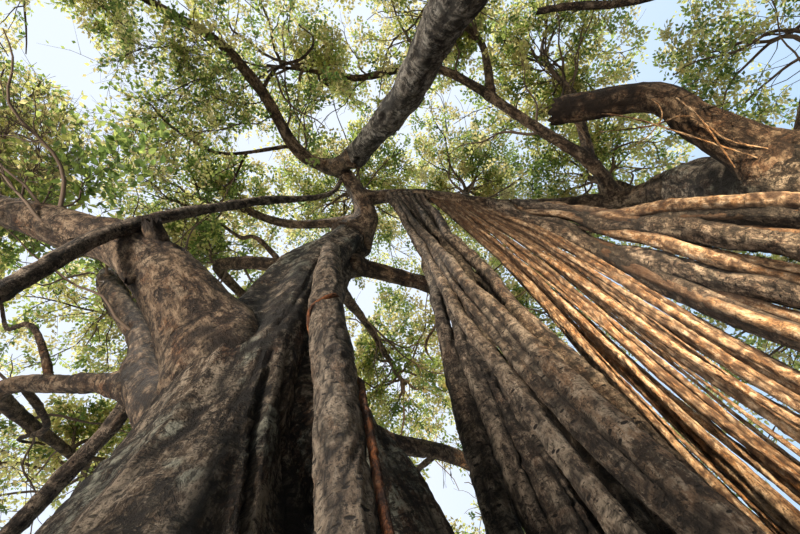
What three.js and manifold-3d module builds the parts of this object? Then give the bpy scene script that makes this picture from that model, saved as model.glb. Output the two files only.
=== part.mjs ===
// A banyan tree: a fluted trunk, a second trunk of fused roots, prop roots from ground to bough,
// and a domed crown of foliage masses, each on its own bough.
// Millimetres, +Z up, +X east and +Y north. The origin is at ground level under the main trunk.
// A station is [x, y, z, radius]: a point of a limb's axis with the limb's radius there.
import * as THREE from "three";
import { mergeVertices } from "three/addons/utils/BufferGeometryUtils.js";
import Module from "manifold-3d";

const wasm = await Module();
wasm.setup();

// Driving dimensions
const CLEAR = 0.32; // gap left between neighbours that touch
const CROWN = { x: 1400, y: -1700 }; // the crown's axis in plan
const FLARE = { size: 620, height: 520 }; // how far the trunk's foot spreads, and how fast that fades
const COLLAR = 0.45; // a bough's extra thickness where it leaves its parent, as a share of its radius
// A blade stands for a spray of leaves. Its length and width are shares of its mass's width.
const LEAF = { long: 0.52, wide: 0.37, thick: 50, sunk: 45 };
const TWIG = { branch: [62, 36], twig: [40, 32] }; // radii at the start and at the end
const BRANCHES = 8; // out of each mass's stem
const TRIES = 14; // for each twig and each blade
const MARGIN = 10; // a mass keeps this far inside its space
const GOLDEN = Math.PI * (3 - Math.sqrt(5));
const BARK = { trunk: 0x6b5a49, bough: 0x5d4c3d, root: 0x8a7460, vine: 0x7a3f26 };
const GREENS = [0x4f6b2c, 0x6d7f36, 0x8a8f42];

// Rings of foliage round the crown's axis, outermost first.
const RINGS = [
  { label: "outer", count: 9, first: 178, reach: 8300, height: 8500, wide: 3500, tall: 2100 },
  { label: "inner", count: 8, first: 180, reach: 4600, height: 10600, wide: 2750, tall: 1800 },
  { label: "top", count: 2, first: 180, reach: 1450, height: 12250, wide: 2650, tall: 1450 },
];
const SCATTER = { angle: 7, reach: 500, height: 420 }; // how far a mass strays from its ring

// The trunk runs on as the leader: the same line, parted at the fork.
const TRUNK_LINE = [
  [0, 0, 0, 760],
  [0, 0, 1100, 640],
  [-90, 20, 2500, 580],
  [-200, -165, 4300, 570],
  [-200, -400, 6000, 515],
  [60, -650, 7200, 385],
  [252, -789, 7700, 300],
  [542, -1184, 8100, 205],
  [420, -1560, 8500, 165],
  [87, -2010, 9000, 140],
  [-238, -2178, 9230, 125],
];
const FORK = 6; // the station where the trunk ends
const BUTTRESS = [
  [1330, -60, 0, 270],
  [1040, -120, 1900, 225],
  [330, -150, 3500, 240],
  [-100, -170, 4300, 220],
];

// Limbs that carry no foliage of their own.
const LIMBS = {
  east_trunk: {
    line: [
      [5450, -1650, 0, 700],
      [5420, -1650, 1000, 640],
      [5250, -1690, 4400, 560],
      [5420, -1770, 6700, 330],
    ],
    kind: "trunk",
    sides: 18,
    rings: 6,
    flutes: { depth: 0.13, phase: 1.7 },
  },
  south_pillar: {
    line: [
      [2593, -4128, 0, 290],
      [2050, -3690, 2100, 262],
      [1505, -3253, 4200, 225],
      [1042, -2790, 6300, 195],
      [365, -2336, 8600, 182],
    ],
    kind: "root",
    sides: 8,
    rings: 6,
  },
  bridge_bough: {
    line: [
      [5400, -1770, 6500, 235],
      [4900, -1480, 7650, 185],
      [3335, -1386, 8420, 140],
      [1799, -1593, 8700, 140],
      [440, -1560, 8560, 135],
    ],
    kind: "bough",
    sides: 7,
    rings: 8,
  },
  broken_bough: {
    line: [
      [5150, -1750, 4350, 290],
      [4831, -2089, 4800, 228],
      [4449, -2446, 5200, 205],
      [4094, -2801, 5600, 185],
      [3203, -2788, 6400, 165],
    ],
    kind: "bough",
    sides: 8,
    rings: 8,
  },
  front_prop_root: {
    line: [
      [1080, -700, 0, 135],
      [790, -665, 1700, 108],
      [620, -660, 2600, 132],
      [446, -668, 3600, 145],
      [325, -715, 4400, 140],
      [185, -860, 5700, 120],
      [70, -800, 6750, 95],
    ],
    kind: "root",
    sides: 7,
    rings: 9,
  },
  north_west_prop_root: {
    line: [
      [-2150, 1100, 0, 95],
      [-1970, 833, 3300, 78],
      [-1450, 120, 4180, 70],
    ],
    kind: "root",
    sides: 6,
    rings: 4,
  },
  west_slanting_root: {
    line: [
      [-1800, -250, 0, 92],
      [-1690, -1060, 3250, 74],
      [-1483, -1395, 4400, 68],
      [-900, -1560, 5900, 56],
      [-150, -1620, 8000, 46],
      [60, -2000, 8990, 40],
    ],
    kind: "root",
    sides: 6,
    rings: 10,
  },
};

// Boughs that end in a foliage mass: the stations up to where the mass takes over.
const BEARERS = {
  outer: [
    { name: "west_bough", line: [[-250, -250, 3450, 330], [-1327, -1035, 4400, 262],
      [-2523, -1299, 5000, 200], [-3699, -1527, 5600, 175]] },
    { name: "north_west_bough", line: [[-1250, 70, 4050, 130], [-2353, 267, 4600, 98],
      [-3750, 695, 5200, 92]] },
    { name: "north_bough", line: [[-200, -100, 4600, 250], [-450, 1900, 6300, 175]] },
    { name: "north_east_bough", line: [[-100, -100, 3900, 170], [880, 1020, 4650, 108],
      [1930, 1800, 5250, 92]] },
    { name: "east_bough", line: [[5300, -1700, 5000, 230], [7600, -900, 6600, 160]] },
    { name: "south_east_bough", line: [[5300, -1700, 4900, 240], [7100, -2900, 6400, 165]] },
    { name: "low_south_bough", line: [[5350, -1750, 4700, 210], [7000, -4800, 6500, 150]] },
    { name: "south_bough", line: [[900, -2700, 7000, 150], [1700, -4300, 8000, 125],
      [1950, -6300, 8400, 110]] },
    { name: "south_west_bough", line: [[365, -2340, 8400, 165], [-238, -2190, 9150, 142],
      [-900, -2560, 9400, 128], [-1620, -3733, 9500, 108], [-2531, -4700, 9600, 95]] },
  ],
  inner: [
    { name: "upper_west_bough", line: [[470, -1180, 8080, 115], [-1158, -1015, 9000, 88],
      [-2400, -1400, 9400, 76]] },
    { name: "rear_west_bough", line: [[-60, -480, 6750, 170], [-822, -477, 7200, 125],
      [-1688, -458, 7700, 120], [-2350, -200, 8350, 112]] },
    { name: "rear_north_bough", line: [[0, -500, 6600, 130], [500, 900, 8300, 75]] },
    { name: "rear_east_bough", line: [[-20, -600, 6950, 180], [890, -306, 7300, 146],
      [1663, -50, 7600, 140], [3100, 600, 8500, 115]] },
    { name: "inner_east_bough", line: [[5400, -1760, 6450, 180],
      [5900, -1600, 8000, 130]] },
    { name: "inner_south_east_bough", line: [[4500, -2200, 7750, 100],
      [4700, -3500, 8900, 84]] },
    { name: "inner_south_bough", line: [[2960, -3480, 8730, 84],
      [2900, -4600, 9350, 76]] },
    { name: "arching_bough", line: [[4950, -1560, 7560, 130], [4500, -2200, 7750, 110],
      [3618, -2883, 8200, 98], [2016, -4152, 9400, 86], [400, -4120, 10000, 74]] },
  ],
  top: [
    { name: "top_west_bough", line: [[300, -1740, 8650, 120], [350, -1700, 9600, 105]] },
    { name: "top_east_bough", line: [[2300, -1500, 8560, 120],
      [2650, -1450, 9600, 105]] },
  ],
};
// One more mass hangs in the gap between the rings on the west.
const EXTRA = {
  label: "west_high",
  centre: [-4550, 900, 9500],
  wide: 2300,
  tall: 1600,
  name: "west_high_bough",
  line: [[-250, 0, 3100, 290], [-1288, 67, 4100, 212], [-1807, -95, 4900, 155], [-3033, -392, 6300, 140],
    [-3700, -300, 7300, 125]],
};

// Roots that hang side by side: each station runs from the first root's place to the last one's.
const ROOT_ROWS = {
  prop_root_cluster: {
    count: 7,
    stagger: 150,
    first: [[1800, 350, 0, 122], [1480, 0, 2300, 108], [1500, -420, 5200, 98], [1560, -700, 6900, 90],
      [960, -1600, 8560, 82]],
    last: [[2800, -150, 0, 128], [2270, -330, 2300, 113], [2130, -700, 5200, 100], [1950, -1000, 6900, 90],
      [1600, -1600, 8640, 82]],
  },
  crossing_roots: {
    count: 2,
    stagger: 0,
    first: [[2150, -420, 0, 100], [1750, -480, 2300, 92], [1480, -760, 5200, 86], [1300, -1150, 7200, 80],
      [1050, -1600, 8600, 76]],
    last: [[2420, -560, 0, 105], [1950, -640, 2300, 94], [1650, -930, 5200, 86], [1380, -1205, 7200, 80],
      [1140, -1600, 8610, 74]],
  },
  curtain_roots_low: {
    count: 6,
    stagger: 90,
    first: [[3700, 1150, 0, 88], [3540, 620, 3600, 76], [2860, -540, 6700, 66], [1780, -1590, 8690, 60]],
    last: [[4300, 650, 0, 88], [3980, 260, 3600, 76], [3150, -720, 6700, 66], [2150, -1540, 8680, 60]],
  },
  curtain_roots_high: {
    count: 6,
    stagger: 90,
    first: [[4480, 480, 0, 84], [4120, 130, 3600, 74], [3280, -780, 6700, 66], [2270, -1530, 8660, 60]],
    last: [[4900, -150, 0, 84], [4420, -250, 3600, 74], [3560, -1000, 6700, 66], [2640, -1460, 8600, 60]],
  },
  great_roots: {
    count: 4,
    stagger: 120,
    first: [[5050, -480, 0, 175], [4420, -560, 4000, 152], [3830, -960, 6600, 138],
      [2900, -1420, 8540, 120]],
    last: [[4550, -1750, 0, 165], [4500, -1650, 4000, 148], [4230, -1420, 6500, 135],
      [3700, -1380, 8300, 118]],
  },
  far_roots: {
    count: 3,
    stagger: 60,
    first: [[7300, -3900, 0, 120], [7050, -3480, 3500, 100], [6880, -2860, 6250, 90]],
    last: [[7900, -3700, 0, 120], [7400, -3400, 3500, 100], [7080, -2920, 6380, 90]],
  },
};

// A number from 0 to 1 for each call, the same run after run.
function seeded(seed) {
  let state = seed >>> 0;
  return () => {
    state = (state + 0x6d2b79f5) >>> 0;
    let mixed = Math.imul(state ^ (state >>> 15), state | 1);
    mixed ^= mixed + Math.imul(mixed ^ (mixed >>> 7), mixed | 61);
    return ((mixed ^ (mixed >>> 14)) >>> 0) / 4294967296;
  };
}

const mix = (a, b, share) => a + (b - a) * share;

// Solids and geometry

function solidOf(geometry) {
  geometry.deleteAttribute("normal");
  geometry.deleteAttribute("uv");
  const merged = mergeVertices(geometry, 1e-3);
  const mesh = new wasm.Mesh({
    numProp: 3,
    vertProperties: merged.attributes.position.array,
    triVerts: new Uint32Array(merged.index.array),
  });
  return new wasm.Manifold(mesh);
}

function geometryOf(solid) {
  const { numProp, numVert, vertProperties, triVerts } = solid.getMesh();
  const places = new Float32Array(numVert * 3);
  for (let i = 0; i < numVert; i++) places.set(vertProperties.subarray(i * numProp, i * numProp + 3), i * 3);
  const geometry = new THREE.BufferGeometry();
  geometry.setAttribute("position", new THREE.BufferAttribute(places, 3));
  geometry.setIndex(new THREE.BufferAttribute(triVerts, 1));
  geometry.computeVertexNormals();
  return geometry;
}

// The largest single body of a solid: a loose scrap that a cut leaves is dropped.
function mainBody(solid) {
  return solid.decompose().reduce((best, body) => (body.volume() > best.volume() ? body : best));
}

// Limbs

// A limb's axis and radius, from the station `from` to the station `to`.
function limbOf(stations, { from = 0, to = stations.length - 1, collar = 0, flutes, flare } = {}) {
  const points = stations.map(([x, y, z]) => new THREE.Vector3(x, y, z));
  const curve = new THREE.CatmullRomCurve3(points, false, "catmullrom");
  const last = stations.length - 1;
  const start = points[from];
  const share = (t) => mix(from, to, t) / last;
  const radius = (t, angle) => {
    const place = mix(from, to, t);
    const i = Math.min(Math.floor(place), last - 1);
    const here = curve.getPoint(share(t));
    const plain = mix(stations[i][3], stations[i + 1][3], place - i);
    const swell = collar * stations[from][3] * Math.exp(-here.distanceTo(start) / (1.6 * stations[from][3]));
    const spread = flare ? flare.size * Math.exp(-here.z / flare.height) : 0;
    const depth = flutes ? flutes.depth * (1 + Math.exp(-here.z / 900)) : 0;
    return (plain + swell + spread) * (1 + (flutes ? depth * fluting(angle, here.z, flutes.phase) : 0));
  };
  return { at: (t) => curve.getPoint(share(t)), along: (t) => curve.getTangent(share(t)), radius };
}

// Ridges and hollows round a trunk, which turn a little as they rise.
function fluting(angle, height, phase) {
  const turn = height / 9000;
  const broad = Math.cos(3 * angle + phase);
  const ribs = Math.cos(5 * (angle - turn) + 0.9 + 2 * phase);
  const folds = Math.cos(7 * (angle + turn) + 2.1 - phase);
  return 0.4 * broad + 0.35 * ribs + 0.35 * folds;
}

// One frame for each ring of a limb: its centre, its way on, and a side that turns as little as it can.
function framesAlong(limb, rings, grow) {
  let side = new THREE.Vector3(1, 0, 0);
  const frames = [];
  for (let i = 0; i <= rings; i++) {
    const t = i / rings;
    const along = limb.along(t).normalize();
    side = side.clone().addScaledVector(along, -side.dot(along)).normalize();
    const end = i === 0 ? -grow : i === rings ? grow : 0;
    frames.push({ t, centre: limb.at(t).addScaledVector(along, end), side, up: side.clone().cross(along) });
  }
  return frames;
}

// A cylinder bent along the limb. `grow` makes it that much bigger all round.
function limbSolid(limb, { sides, rings, grounded = false, grow = 0 }) {
  const tube = new THREE.CylinderGeometry(1, 1, 1, sides, rings);
  const frames = framesAlong(limb, rings, grow);
  const place = tube.getAttribute("position");
  for (let i = 0; i < place.count; i++) {
    const ring = Math.round((place.getY(i) + 0.5) * rings);
    const { t, centre, side, up } = frames[ring];
    const [x, z] = [place.getX(i), place.getZ(i)];
    const reach = Math.hypot(x, z) > 0.5 ? limb.radius(t, Math.atan2(-z, x)) + grow : 0;
    const point = centre.clone().addScaledVector(side, x * reach).addScaledVector(up, z * reach);
    if (grounded && ring === 0) point.z = 0;
    place.setXYZ(i, point.x, point.y, point.z);
  }
  return solidOf(tube);
}

// The tree's pieces, by name. Each has its own shape, and a slightly bigger one that cuts others clear.
const pieces = new Map();

// A new piece is cut clear of all that came before it.
function addPiece(name, shape, grown, kind) {
  const cut = [...pieces.values()].reduce((left, earlier) => left.subtract(earlier.grown), shape);
  pieces.set(name, { shape: mainBody(cut), grown, kind });
}

function addLimb(name, stations, { kind, sides, rings, from, to, collar, flutes, flare }) {
  const limb = limbOf(stations, { from, to, collar, flutes, flare });
  const grounded = stations[from ?? 0][2] === 0;
  const built = (grow) => limbSolid(limb, { sides, rings, grounded, grow });
  addPiece(name, built(0), built(CLEAR), kind);
}

function addTrunk() {
  const column = limbOf(TRUNK_LINE, { to: FORK, flutes: { depth: 0.15, phase: 3.3 }, flare: FLARE });
  const buttress = limbOf(BUTTRESS, {});
  const built = (grow) =>
    limbSolid(column, { sides: 22, rings: 10, grounded: true, grow }).add(
      limbSolid(buttress, { sides: 6, rings: 3, grounded: true, grow }),
    );
  addPiece("trunk", built(0), built(CLEAR), "trunk");
}

// A row of hanging roots, fused where they crowd together under their bough.
function addRootRow(name, row) {
  const built = (grow) => {
    const roots = [];
    for (let i = 0; i < row.count; i++) {
      const share = i / (row.count - 1);
      const line = row.first.map((station, level) => {
        const place = station.map((value, axis) => mix(value, row.last[level][axis], share));
        const top = level === row.first.length - 1;
        place[1] += top ? 0 : (i % 2) * row.stagger * (level === 0 ? 1.4 : 1);
        return place;
      });
      const limb = limbOf(line);
      roots.push(limbSolid(limb, { sides: 5, rings: line.length - 1, grounded: true, grow }));
    }
    return wasm.Manifold.union(roots);
  };
  addPiece(name, built(0), built(CLEAR), "root");
}

// A thin root that climbs beside the front prop root and winds round it.
function addVine() {
  const host = limbOf(LIMBS.front_prop_root.line);
  const { turns, steps, radius, low, high } = { turns: 1.15, steps: 11, radius: 21, low: 0.02, high: 0.66 };
  const stations = [];
  for (let i = 0; i <= steps; i++) {
    const t = mix(low, high, i / steps);
    const angle = -0.35 + 2 * Math.PI * turns * Math.max(0, (t - 0.3) / (high - 0.3)) ** 1.5;
    const out = host.radius(t, 0) + radius * 0.8;
    const { x, y, z } = host.at(t);
    stations.push([x + out * Math.cos(angle), y + out * Math.sin(angle), i === 0 ? 0 : z, radius]);
  }
  const limb = limbOf(stations);
  const built = (grow) => limbSolid(limb, { sides: 4, rings: 12, grounded: true, grow });
  addPiece("twining_root", built(0), built(CLEAR), "vine");
}

// Foliage

// The masses: a ball squashed to `wide` and `tall`, round a centre that strays a little from its ring.
function placeMasses() {
  const draw = seeded(41);
  const masses = [];
  for (const ring of RINGS) {
    BEARERS[ring.label].forEach((bough, i) => {
      const angle = ring.first - (360 / ring.count) * i + mix(-1, 1, draw()) * SCATTER.angle;
      const reach = ring.reach + mix(-1, 1, draw()) * SCATTER.reach;
      const height = ring.height + mix(-1, 1, draw()) * SCATTER.height;
      const centre = new THREE.Vector3(reach, 0, height);
      centre.applyAxisAngle(new THREE.Vector3(0, 0, 1), THREE.MathUtils.degToRad(angle));
      centre.add(new THREE.Vector3(CROWN.x, CROWN.y, 0));
      masses.push({ label: `${ring.label}_${i + 1}`, centre, wide: ring.wide, tall: ring.tall, bough });
    });
  }
  const { label, centre, wide, tall, name, line } = EXTRA;
  masses.push({ label, centre: new THREE.Vector3(...centre), wide, tall, bough: { name, line } });
  return masses.map((mass, i) => ({ ...mass, seed: 101 + 17 * i, axes: axesOf(mass) }));
}

const axesOf = ({ wide, tall }) => new THREE.Vector3(wide, wide, tall);

// The bough's stations, then its tip where it enters the mass, then the hub that the stem ends at.
function bearerLine({ bough, centre, axes }) {
  const last = new THREE.Vector3(...bough.line.at(-1));
  const hub = centre.clone().setZ(centre.z - 0.2 * axes.z);
  const way = last.clone().sub(hub);
  const scaled = way.clone().divide(axes).length();
  const tip = hub.clone().addScaledVector(way, Math.min(0.72 / scaled, 0.75));
  const thick = Math.min(bough.line.at(-1)[3] * 0.82, 105);
  return [...bough.line, [tip.x, tip.y, tip.z, thick], [hub.x, hub.y, hub.z, thick * 0.55]];
}

function inSpace(point, mass) {
  if (point.clone().sub(mass.centre).divide(mass.axes).length() > 1) return false;
  return masses.every((other) => {
    if (other === mass) return true;
    const way = other.centre.clone().sub(mass.centre);
    const middle = mass.centre.clone().addScaledVector(way, 0.5);
    return point.clone().sub(middle).dot(way.normalize()) < -MARGIN;
  });
}

function boxesMeet(a, b) {
  return [0, 1, 2].every((axis) => a.min[axis] < b.max[axis] && b.min[axis] < a.max[axis]);
}

function touches(solid, box, other) {
  return boxesMeet(box, other.bounds) && !solid.intersect(other.solid).isEmpty();
}

// Whether a twig or a blade stays in its mass's space, and off every limb, every other mass's stem
// and all that grew before it in its own mass but its parent.
function fits(solid, mass, parent) {
  const { numProp, numVert, vertProperties } = solid.getMesh();
  for (let i = 0; i < numVert; i++) {
    if (!inSpace(new THREE.Vector3().fromArray(vertProperties, i * numProp), mass)) return false;
  }
  const box = solid.boundingBox();
  const others = obstacles.filter(({ owner }) => owner !== mass);
  const grown = mass.parts.filter((part) => part !== parent);
  return [...others, ...grown].every((other) => !touches(solid, box, other));
}

// How far it is from a point to the edge of the mass's ball.
function roomAhead(point, way, mass) {
  const p = point.clone().sub(mass.centre).divide(mass.axes);
  const d = way.clone().divide(mass.axes);
  const [a, b, c] = [d.dot(d), p.dot(d), p.dot(p) - 1];
  return c >= 0 ? 0 : (-b + Math.sqrt(b * b - a * c)) / a;
}

function twigSolid(start, way, length, [thick, thin]) {
  const twig = new THREE.CylinderGeometry(thin, thick, length, 3, 1).translate(0, length / 2, 0);
  twig.applyQuaternion(new THREE.Quaternion().setFromUnitVectors(new THREE.Vector3(0, 1, 0), way));
  return solidOf(twig.translate(start.x, start.y, start.z));
}

// A blade with a ridge along its upper side: a flattened tetrahedron from its root to its tip.
function leafSolid(root, way, roll, { wide }) {
  const [long, half] = [LEAF.long * wide, (LEAF.wide * wide) / 2];
  const side = new THREE.Vector3(0, 0, 1).cross(way).normalize().applyAxisAngle(way, roll);
  const leaf = new THREE.TetrahedronGeometry(Math.sqrt(1.5)).rotateZ(-Math.PI / 4);
  leaf.scale(long / 2, half, LEAF.thick * Math.SQRT1_2).translate(long / 2, 0, -LEAF.thick / 2);
  leaf.applyMatrix4(new THREE.Matrix4().makeBasis(way, side, way.clone().cross(side)).setPosition(root));
  return solidOf(leaf);
}

// Ways out of a point: spread evenly over a ball by the golden angle.
function ballWay(i, count, roll) {
  const up = 1 - (2 * i + 1) / count;
  const flat = Math.sqrt(1 - up * up);
  return new THREE.Vector3(flat * Math.cos(GOLDEN * i + roll), flat * Math.sin(GOLDEN * i + roll), up);
}

// A way that leans off another by `spread`, at the given roll about it.
function leanOff(way, spread, roll) {
  const side = new THREE.Vector3(0, 0, 1).cross(way).normalize().applyAxisAngle(way, roll);
  return way.clone().addScaledVector(side, spread).normalize();
}

// Adds the first of a few seeded tries that fits.
function addPart(make, mass, parent) {
  for (let i = 0; i < TRIES; i++) {
    const part = make();
    if (!fits(part.solid, mass, parent)) continue;
    part.bounds = part.solid.boundingBox();
    mass.parts.push(part);
    return part;
  }
  return null;
}

// Blades at shares of a twig's length: they lean off to either side, and the last goes on from its end.
function addLeaves(twig, shares, draw, mass) {
  shares.forEach((share, i) => {
    const last = share === 1;
    const root = twig.start.clone().addScaledVector(twig.way, twig.length * share - (last ? LEAF.sunk : 0));
    const make = () => {
      const spread = last ? 0.15 * draw() : mix(0.9, 1.9, draw());
      const out = leanOff(twig.way, spread, Math.PI * i + mix(-0.9, 0.9, draw()));
      return { solid: leafSolid(root, out, mix(-1, 1, draw()), mass) };
    };
    addPart(make, mass, twig);
  });
}

function addTwig(parent, from, lean, reach, radii, draw, mass) {
  const make = () => {
    const start = from.point();
    const way = leanOff(from.way, lean * mix(0.6, 1, draw()), 2 * Math.PI * draw());
    const length = Math.max(roomAhead(start, way, mass) - 0.93 * LEAF.long * mass.wide, reach * mass.wide);
    return { start, way, length, solid: twigSolid(start, way, length, radii) };
  };
  return addPart(make, mass, parent);
}

// Branches from the stem, a side twig from every third, and blades along them and at their ends.
function growMass(mass) {
  const draw = seeded(mass.seed);
  const roll = draw() * 2 * Math.PI;
  for (let i = 0; i < BRANCHES; i++) {
    const way = ballWay(i, BRANCHES, roll).multiply(mass.axes).normalize();
    const from = { way, point: () => mass.stem.at(mix(0.4, 0.6, draw()) + 0.05 * i) };
    const branch = addTwig(mass.stem, from, 0.25, 0.26, TWIG.branch, draw, mass);
    if (!branch) continue;
    const forked = i % 3 === 1;
    addLeaves(branch, forked ? [0.5, 0.8, 1] : [0.3, 0.55, 0.8, 1], draw, mass);
    if (!forked) continue;
    const fork = branch.start.clone().addScaledVector(branch.way, 0.3 * branch.length);
    const side = addTwig(branch, { way: branch.way, point: () => fork }, 1.1, 0.18, TWIG.twig, draw, mass);
    if (side) addLeaves(side, [1], draw, mass);
  }
  return mainBody(wasm.Manifold.union(mass.parts.map(({ solid }) => solid)));
}

// The stem goes on from the bough's tip along the same line.
function stemOf(line) {
  const limb = limbOf(line, { from: line.length - 2 });
  const lift = limb.along(0).normalize().multiplyScalar(CLEAR);
  const shape = (grow) => limbSolid(limb, { sides: 4, rings: 1, grow }).translate([lift.x, lift.y, lift.z]);
  return { solid: shape(0), grown: shape(CLEAR), bounds: shape(0).boundingBox(), at: limb.at };
}

// What carries is built before what it carries.
const masses = placeMasses();
const bearers = new Map(masses.map((mass) => [mass.bough.name, mass]));

function addBearer(name) {
  const mass = bearers.get(name);
  const line = bearerLine(mass);
  const settings = { kind: "bough", sides: 6, rings: 2 * (line.length - 2), collar: COLLAR };
  addLimb(name, line, { ...settings, to: line.length - 2 });
}

addTrunk();
addLimb("leader_bough", TRUNK_LINE, { kind: "bough", from: FORK, sides: 7, rings: 5 });
addLimb("east_trunk", LIMBS.east_trunk.line, { ...LIMBS.east_trunk, flare: FLARE });
addLimb("south_pillar", LIMBS.south_pillar.line, LIMBS.south_pillar);
for (const name of ["bridge_bough", "broken_bough", "front_prop_root"]) {
  addLimb(name, LIMBS[name].line, LIMBS[name]);
}
const firstBoughs = ["west_high_bough", "arching_bough"];
const laterBoughs = [...bearers.keys()].filter((name) => !firstBoughs.includes(name));
[...firstBoughs, ...laterBoughs].forEach(addBearer);
for (const name of ["north_west_prop_root", "west_slanting_root"]) {
  addLimb(name, LIMBS[name].line, LIMBS[name]);
}
for (const [name, row] of Object.entries(ROOT_ROWS)) addRootRow(name, row);
addVine();
for (const mass of masses) {
  mass.stem = stemOf(bearerLine(mass));
  mass.parts = [mass.stem];
}
const obstacles = [
  ...[...pieces.values()].map(({ grown }) => ({ solid: grown })),
  ...masses.map((mass) => ({ solid: mass.stem.grown, owner: mass })),
].map((obstacle) => ({ ...obstacle, bounds: obstacle.solid.boundingBox() }));
for (const mass of masses) pieces.set(`foliage_${mass.label}`, { shape: growMass(mass), kind: "foliage" });

const tree = new THREE.Group();
[...pieces].forEach(([name, { shape, kind }], i) => {
  const color = kind === "foliage" ? GREENS[i % GREENS.length] : BARK[kind];
  const material = new THREE.MeshStandardMaterial({ color, roughness: 0.9, metalness: 0 });
  const mesh = new THREE.Mesh(geometryOf(shape), material);
  mesh.name = name;
  tree.add(mesh);
});

export default tree;
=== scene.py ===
# A banyan tree's looks: bark with its relief on every trunk, bough and root, and boughs, twigs and
# leaves that grow on from the limbs by the rule of the part's own source.
# The rule's values are in millimetres, as in the source. Meshes are made in metres.
import math
from itertools import product

import bpy
import numpy as np
from mathutils import Matrix, Vector
from mathutils.kdtree import KDTree


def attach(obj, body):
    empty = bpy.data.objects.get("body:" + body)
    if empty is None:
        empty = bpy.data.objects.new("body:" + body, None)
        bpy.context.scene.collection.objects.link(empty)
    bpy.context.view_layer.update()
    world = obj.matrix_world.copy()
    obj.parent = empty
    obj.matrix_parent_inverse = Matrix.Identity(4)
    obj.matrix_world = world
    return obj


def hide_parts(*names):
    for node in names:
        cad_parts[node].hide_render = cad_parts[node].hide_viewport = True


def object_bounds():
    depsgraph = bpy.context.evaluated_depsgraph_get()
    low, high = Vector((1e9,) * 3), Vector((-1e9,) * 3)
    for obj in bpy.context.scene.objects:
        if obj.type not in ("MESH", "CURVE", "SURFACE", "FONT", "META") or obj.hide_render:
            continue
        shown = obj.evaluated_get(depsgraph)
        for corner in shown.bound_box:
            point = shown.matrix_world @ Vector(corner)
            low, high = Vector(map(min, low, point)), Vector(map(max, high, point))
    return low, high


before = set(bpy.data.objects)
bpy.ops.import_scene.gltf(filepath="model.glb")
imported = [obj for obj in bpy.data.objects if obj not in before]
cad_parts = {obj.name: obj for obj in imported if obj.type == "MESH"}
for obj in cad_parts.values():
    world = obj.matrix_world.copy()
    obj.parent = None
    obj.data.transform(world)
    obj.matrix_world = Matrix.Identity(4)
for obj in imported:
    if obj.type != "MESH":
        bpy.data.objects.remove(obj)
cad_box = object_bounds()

MM = 0.001

# The camera stands under the crown and looks almost straight up.
EYE = (900.0, -1750.0, 600.0)
PICTURE = (800, 534)
FOCAL = 400.0  # in pixels
ZENITH = (385.0, 188.0)  # the pixel that lies straight up

# The tree's own values, the same as in the source. A station is (x, y, z, radius).
CROWN = (1400.0, -1700.0)  # its centre
FLARE = (620.0, 520.0)  # how far the trunks' feet flare, and over what height
MARGIN = 10.0  # between the spaces of two masses and the plane midway
BOX_SLACK = 40.0  # how far twigs may pass the solids' box
GOLDEN = math.pi * (3 - math.sqrt(5))
RINGS = [
    dict(label="outer", count=9, first=178, reach=8300, height=8500, wide=3500, tall=2100),
    dict(label="inner", count=8, first=180, reach=4600, height=10600, wide=2750, tall=1800),
    dict(label="top", count=2, first=180, reach=1450, height=12250, wide=2650, tall=1450),
]
SCATTER = dict(angle=7, reach=500, height=420)
TRUNK_LINE = [(0, 0, 0, 760), (0, 0, 1100, 640), (-90, 20, 2500, 580), (-200, -165, 4300, 570),
              (-200, -400, 6000, 515), (60, -650, 7200, 385), (252, -789, 7700, 300),
              (542, -1184, 8100, 205), (420, -1560, 8500, 165), (87, -2010, 9000, 140),
              (-238, -2178, 9230, 125)]
FORK = 6
BUTTRESS = [(1330, -60, 0, 270), (1040, -120, 1900, 225), (330, -150, 3500, 240), (-100, -170, 4300, 220)]
LIMBS = {
    "east_trunk": [(5450, -1650, 0, 700), (5420, -1650, 1000, 640), (5250, -1690, 4400, 560),
        (5420, -1770, 6700, 330)],
    "south_pillar": [(2593, -4128, 0, 290), (2050, -3690, 2100, 262), (1505, -3253, 4200, 225),
        (1042, -2790, 6300, 195), (365, -2336, 8600, 182)],
    "bridge_bough": [(5400, -1770, 6500, 235), (4900, -1480, 7650, 185), (3335, -1386, 8420, 140),
        (1799, -1593, 8700, 140), (440, -1560, 8560, 135)],
    "broken_bough": [(5150, -1750, 4350, 290), (4831, -2089, 4800, 228), (4449, -2446, 5200, 205),
        (4094, -2801, 5600, 185), (3203, -2788, 6400, 165)],
    "front_prop_root": [(1080, -700, 0, 135), (790, -665, 1700, 108), (620, -660, 2600, 132),
        (446, -668, 3600, 145), (325, -715, 4400, 140), (185, -860, 5700, 120), (70, -800, 6750, 95)],
    "north_west_prop_root": [(-2150, 1100, 0, 95), (-1970, 833, 3300, 78), (-1450, 120, 4180, 70)],
    "west_slanting_root": [(-1800, -250, 0, 92), (-1690, -1060, 3250, 74), (-1483, -1395, 4400, 68),
        (-900, -1560, 5900, 56), (-150, -1620, 8000, 46), (60, -2000, 8990, 40)],
}
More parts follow.
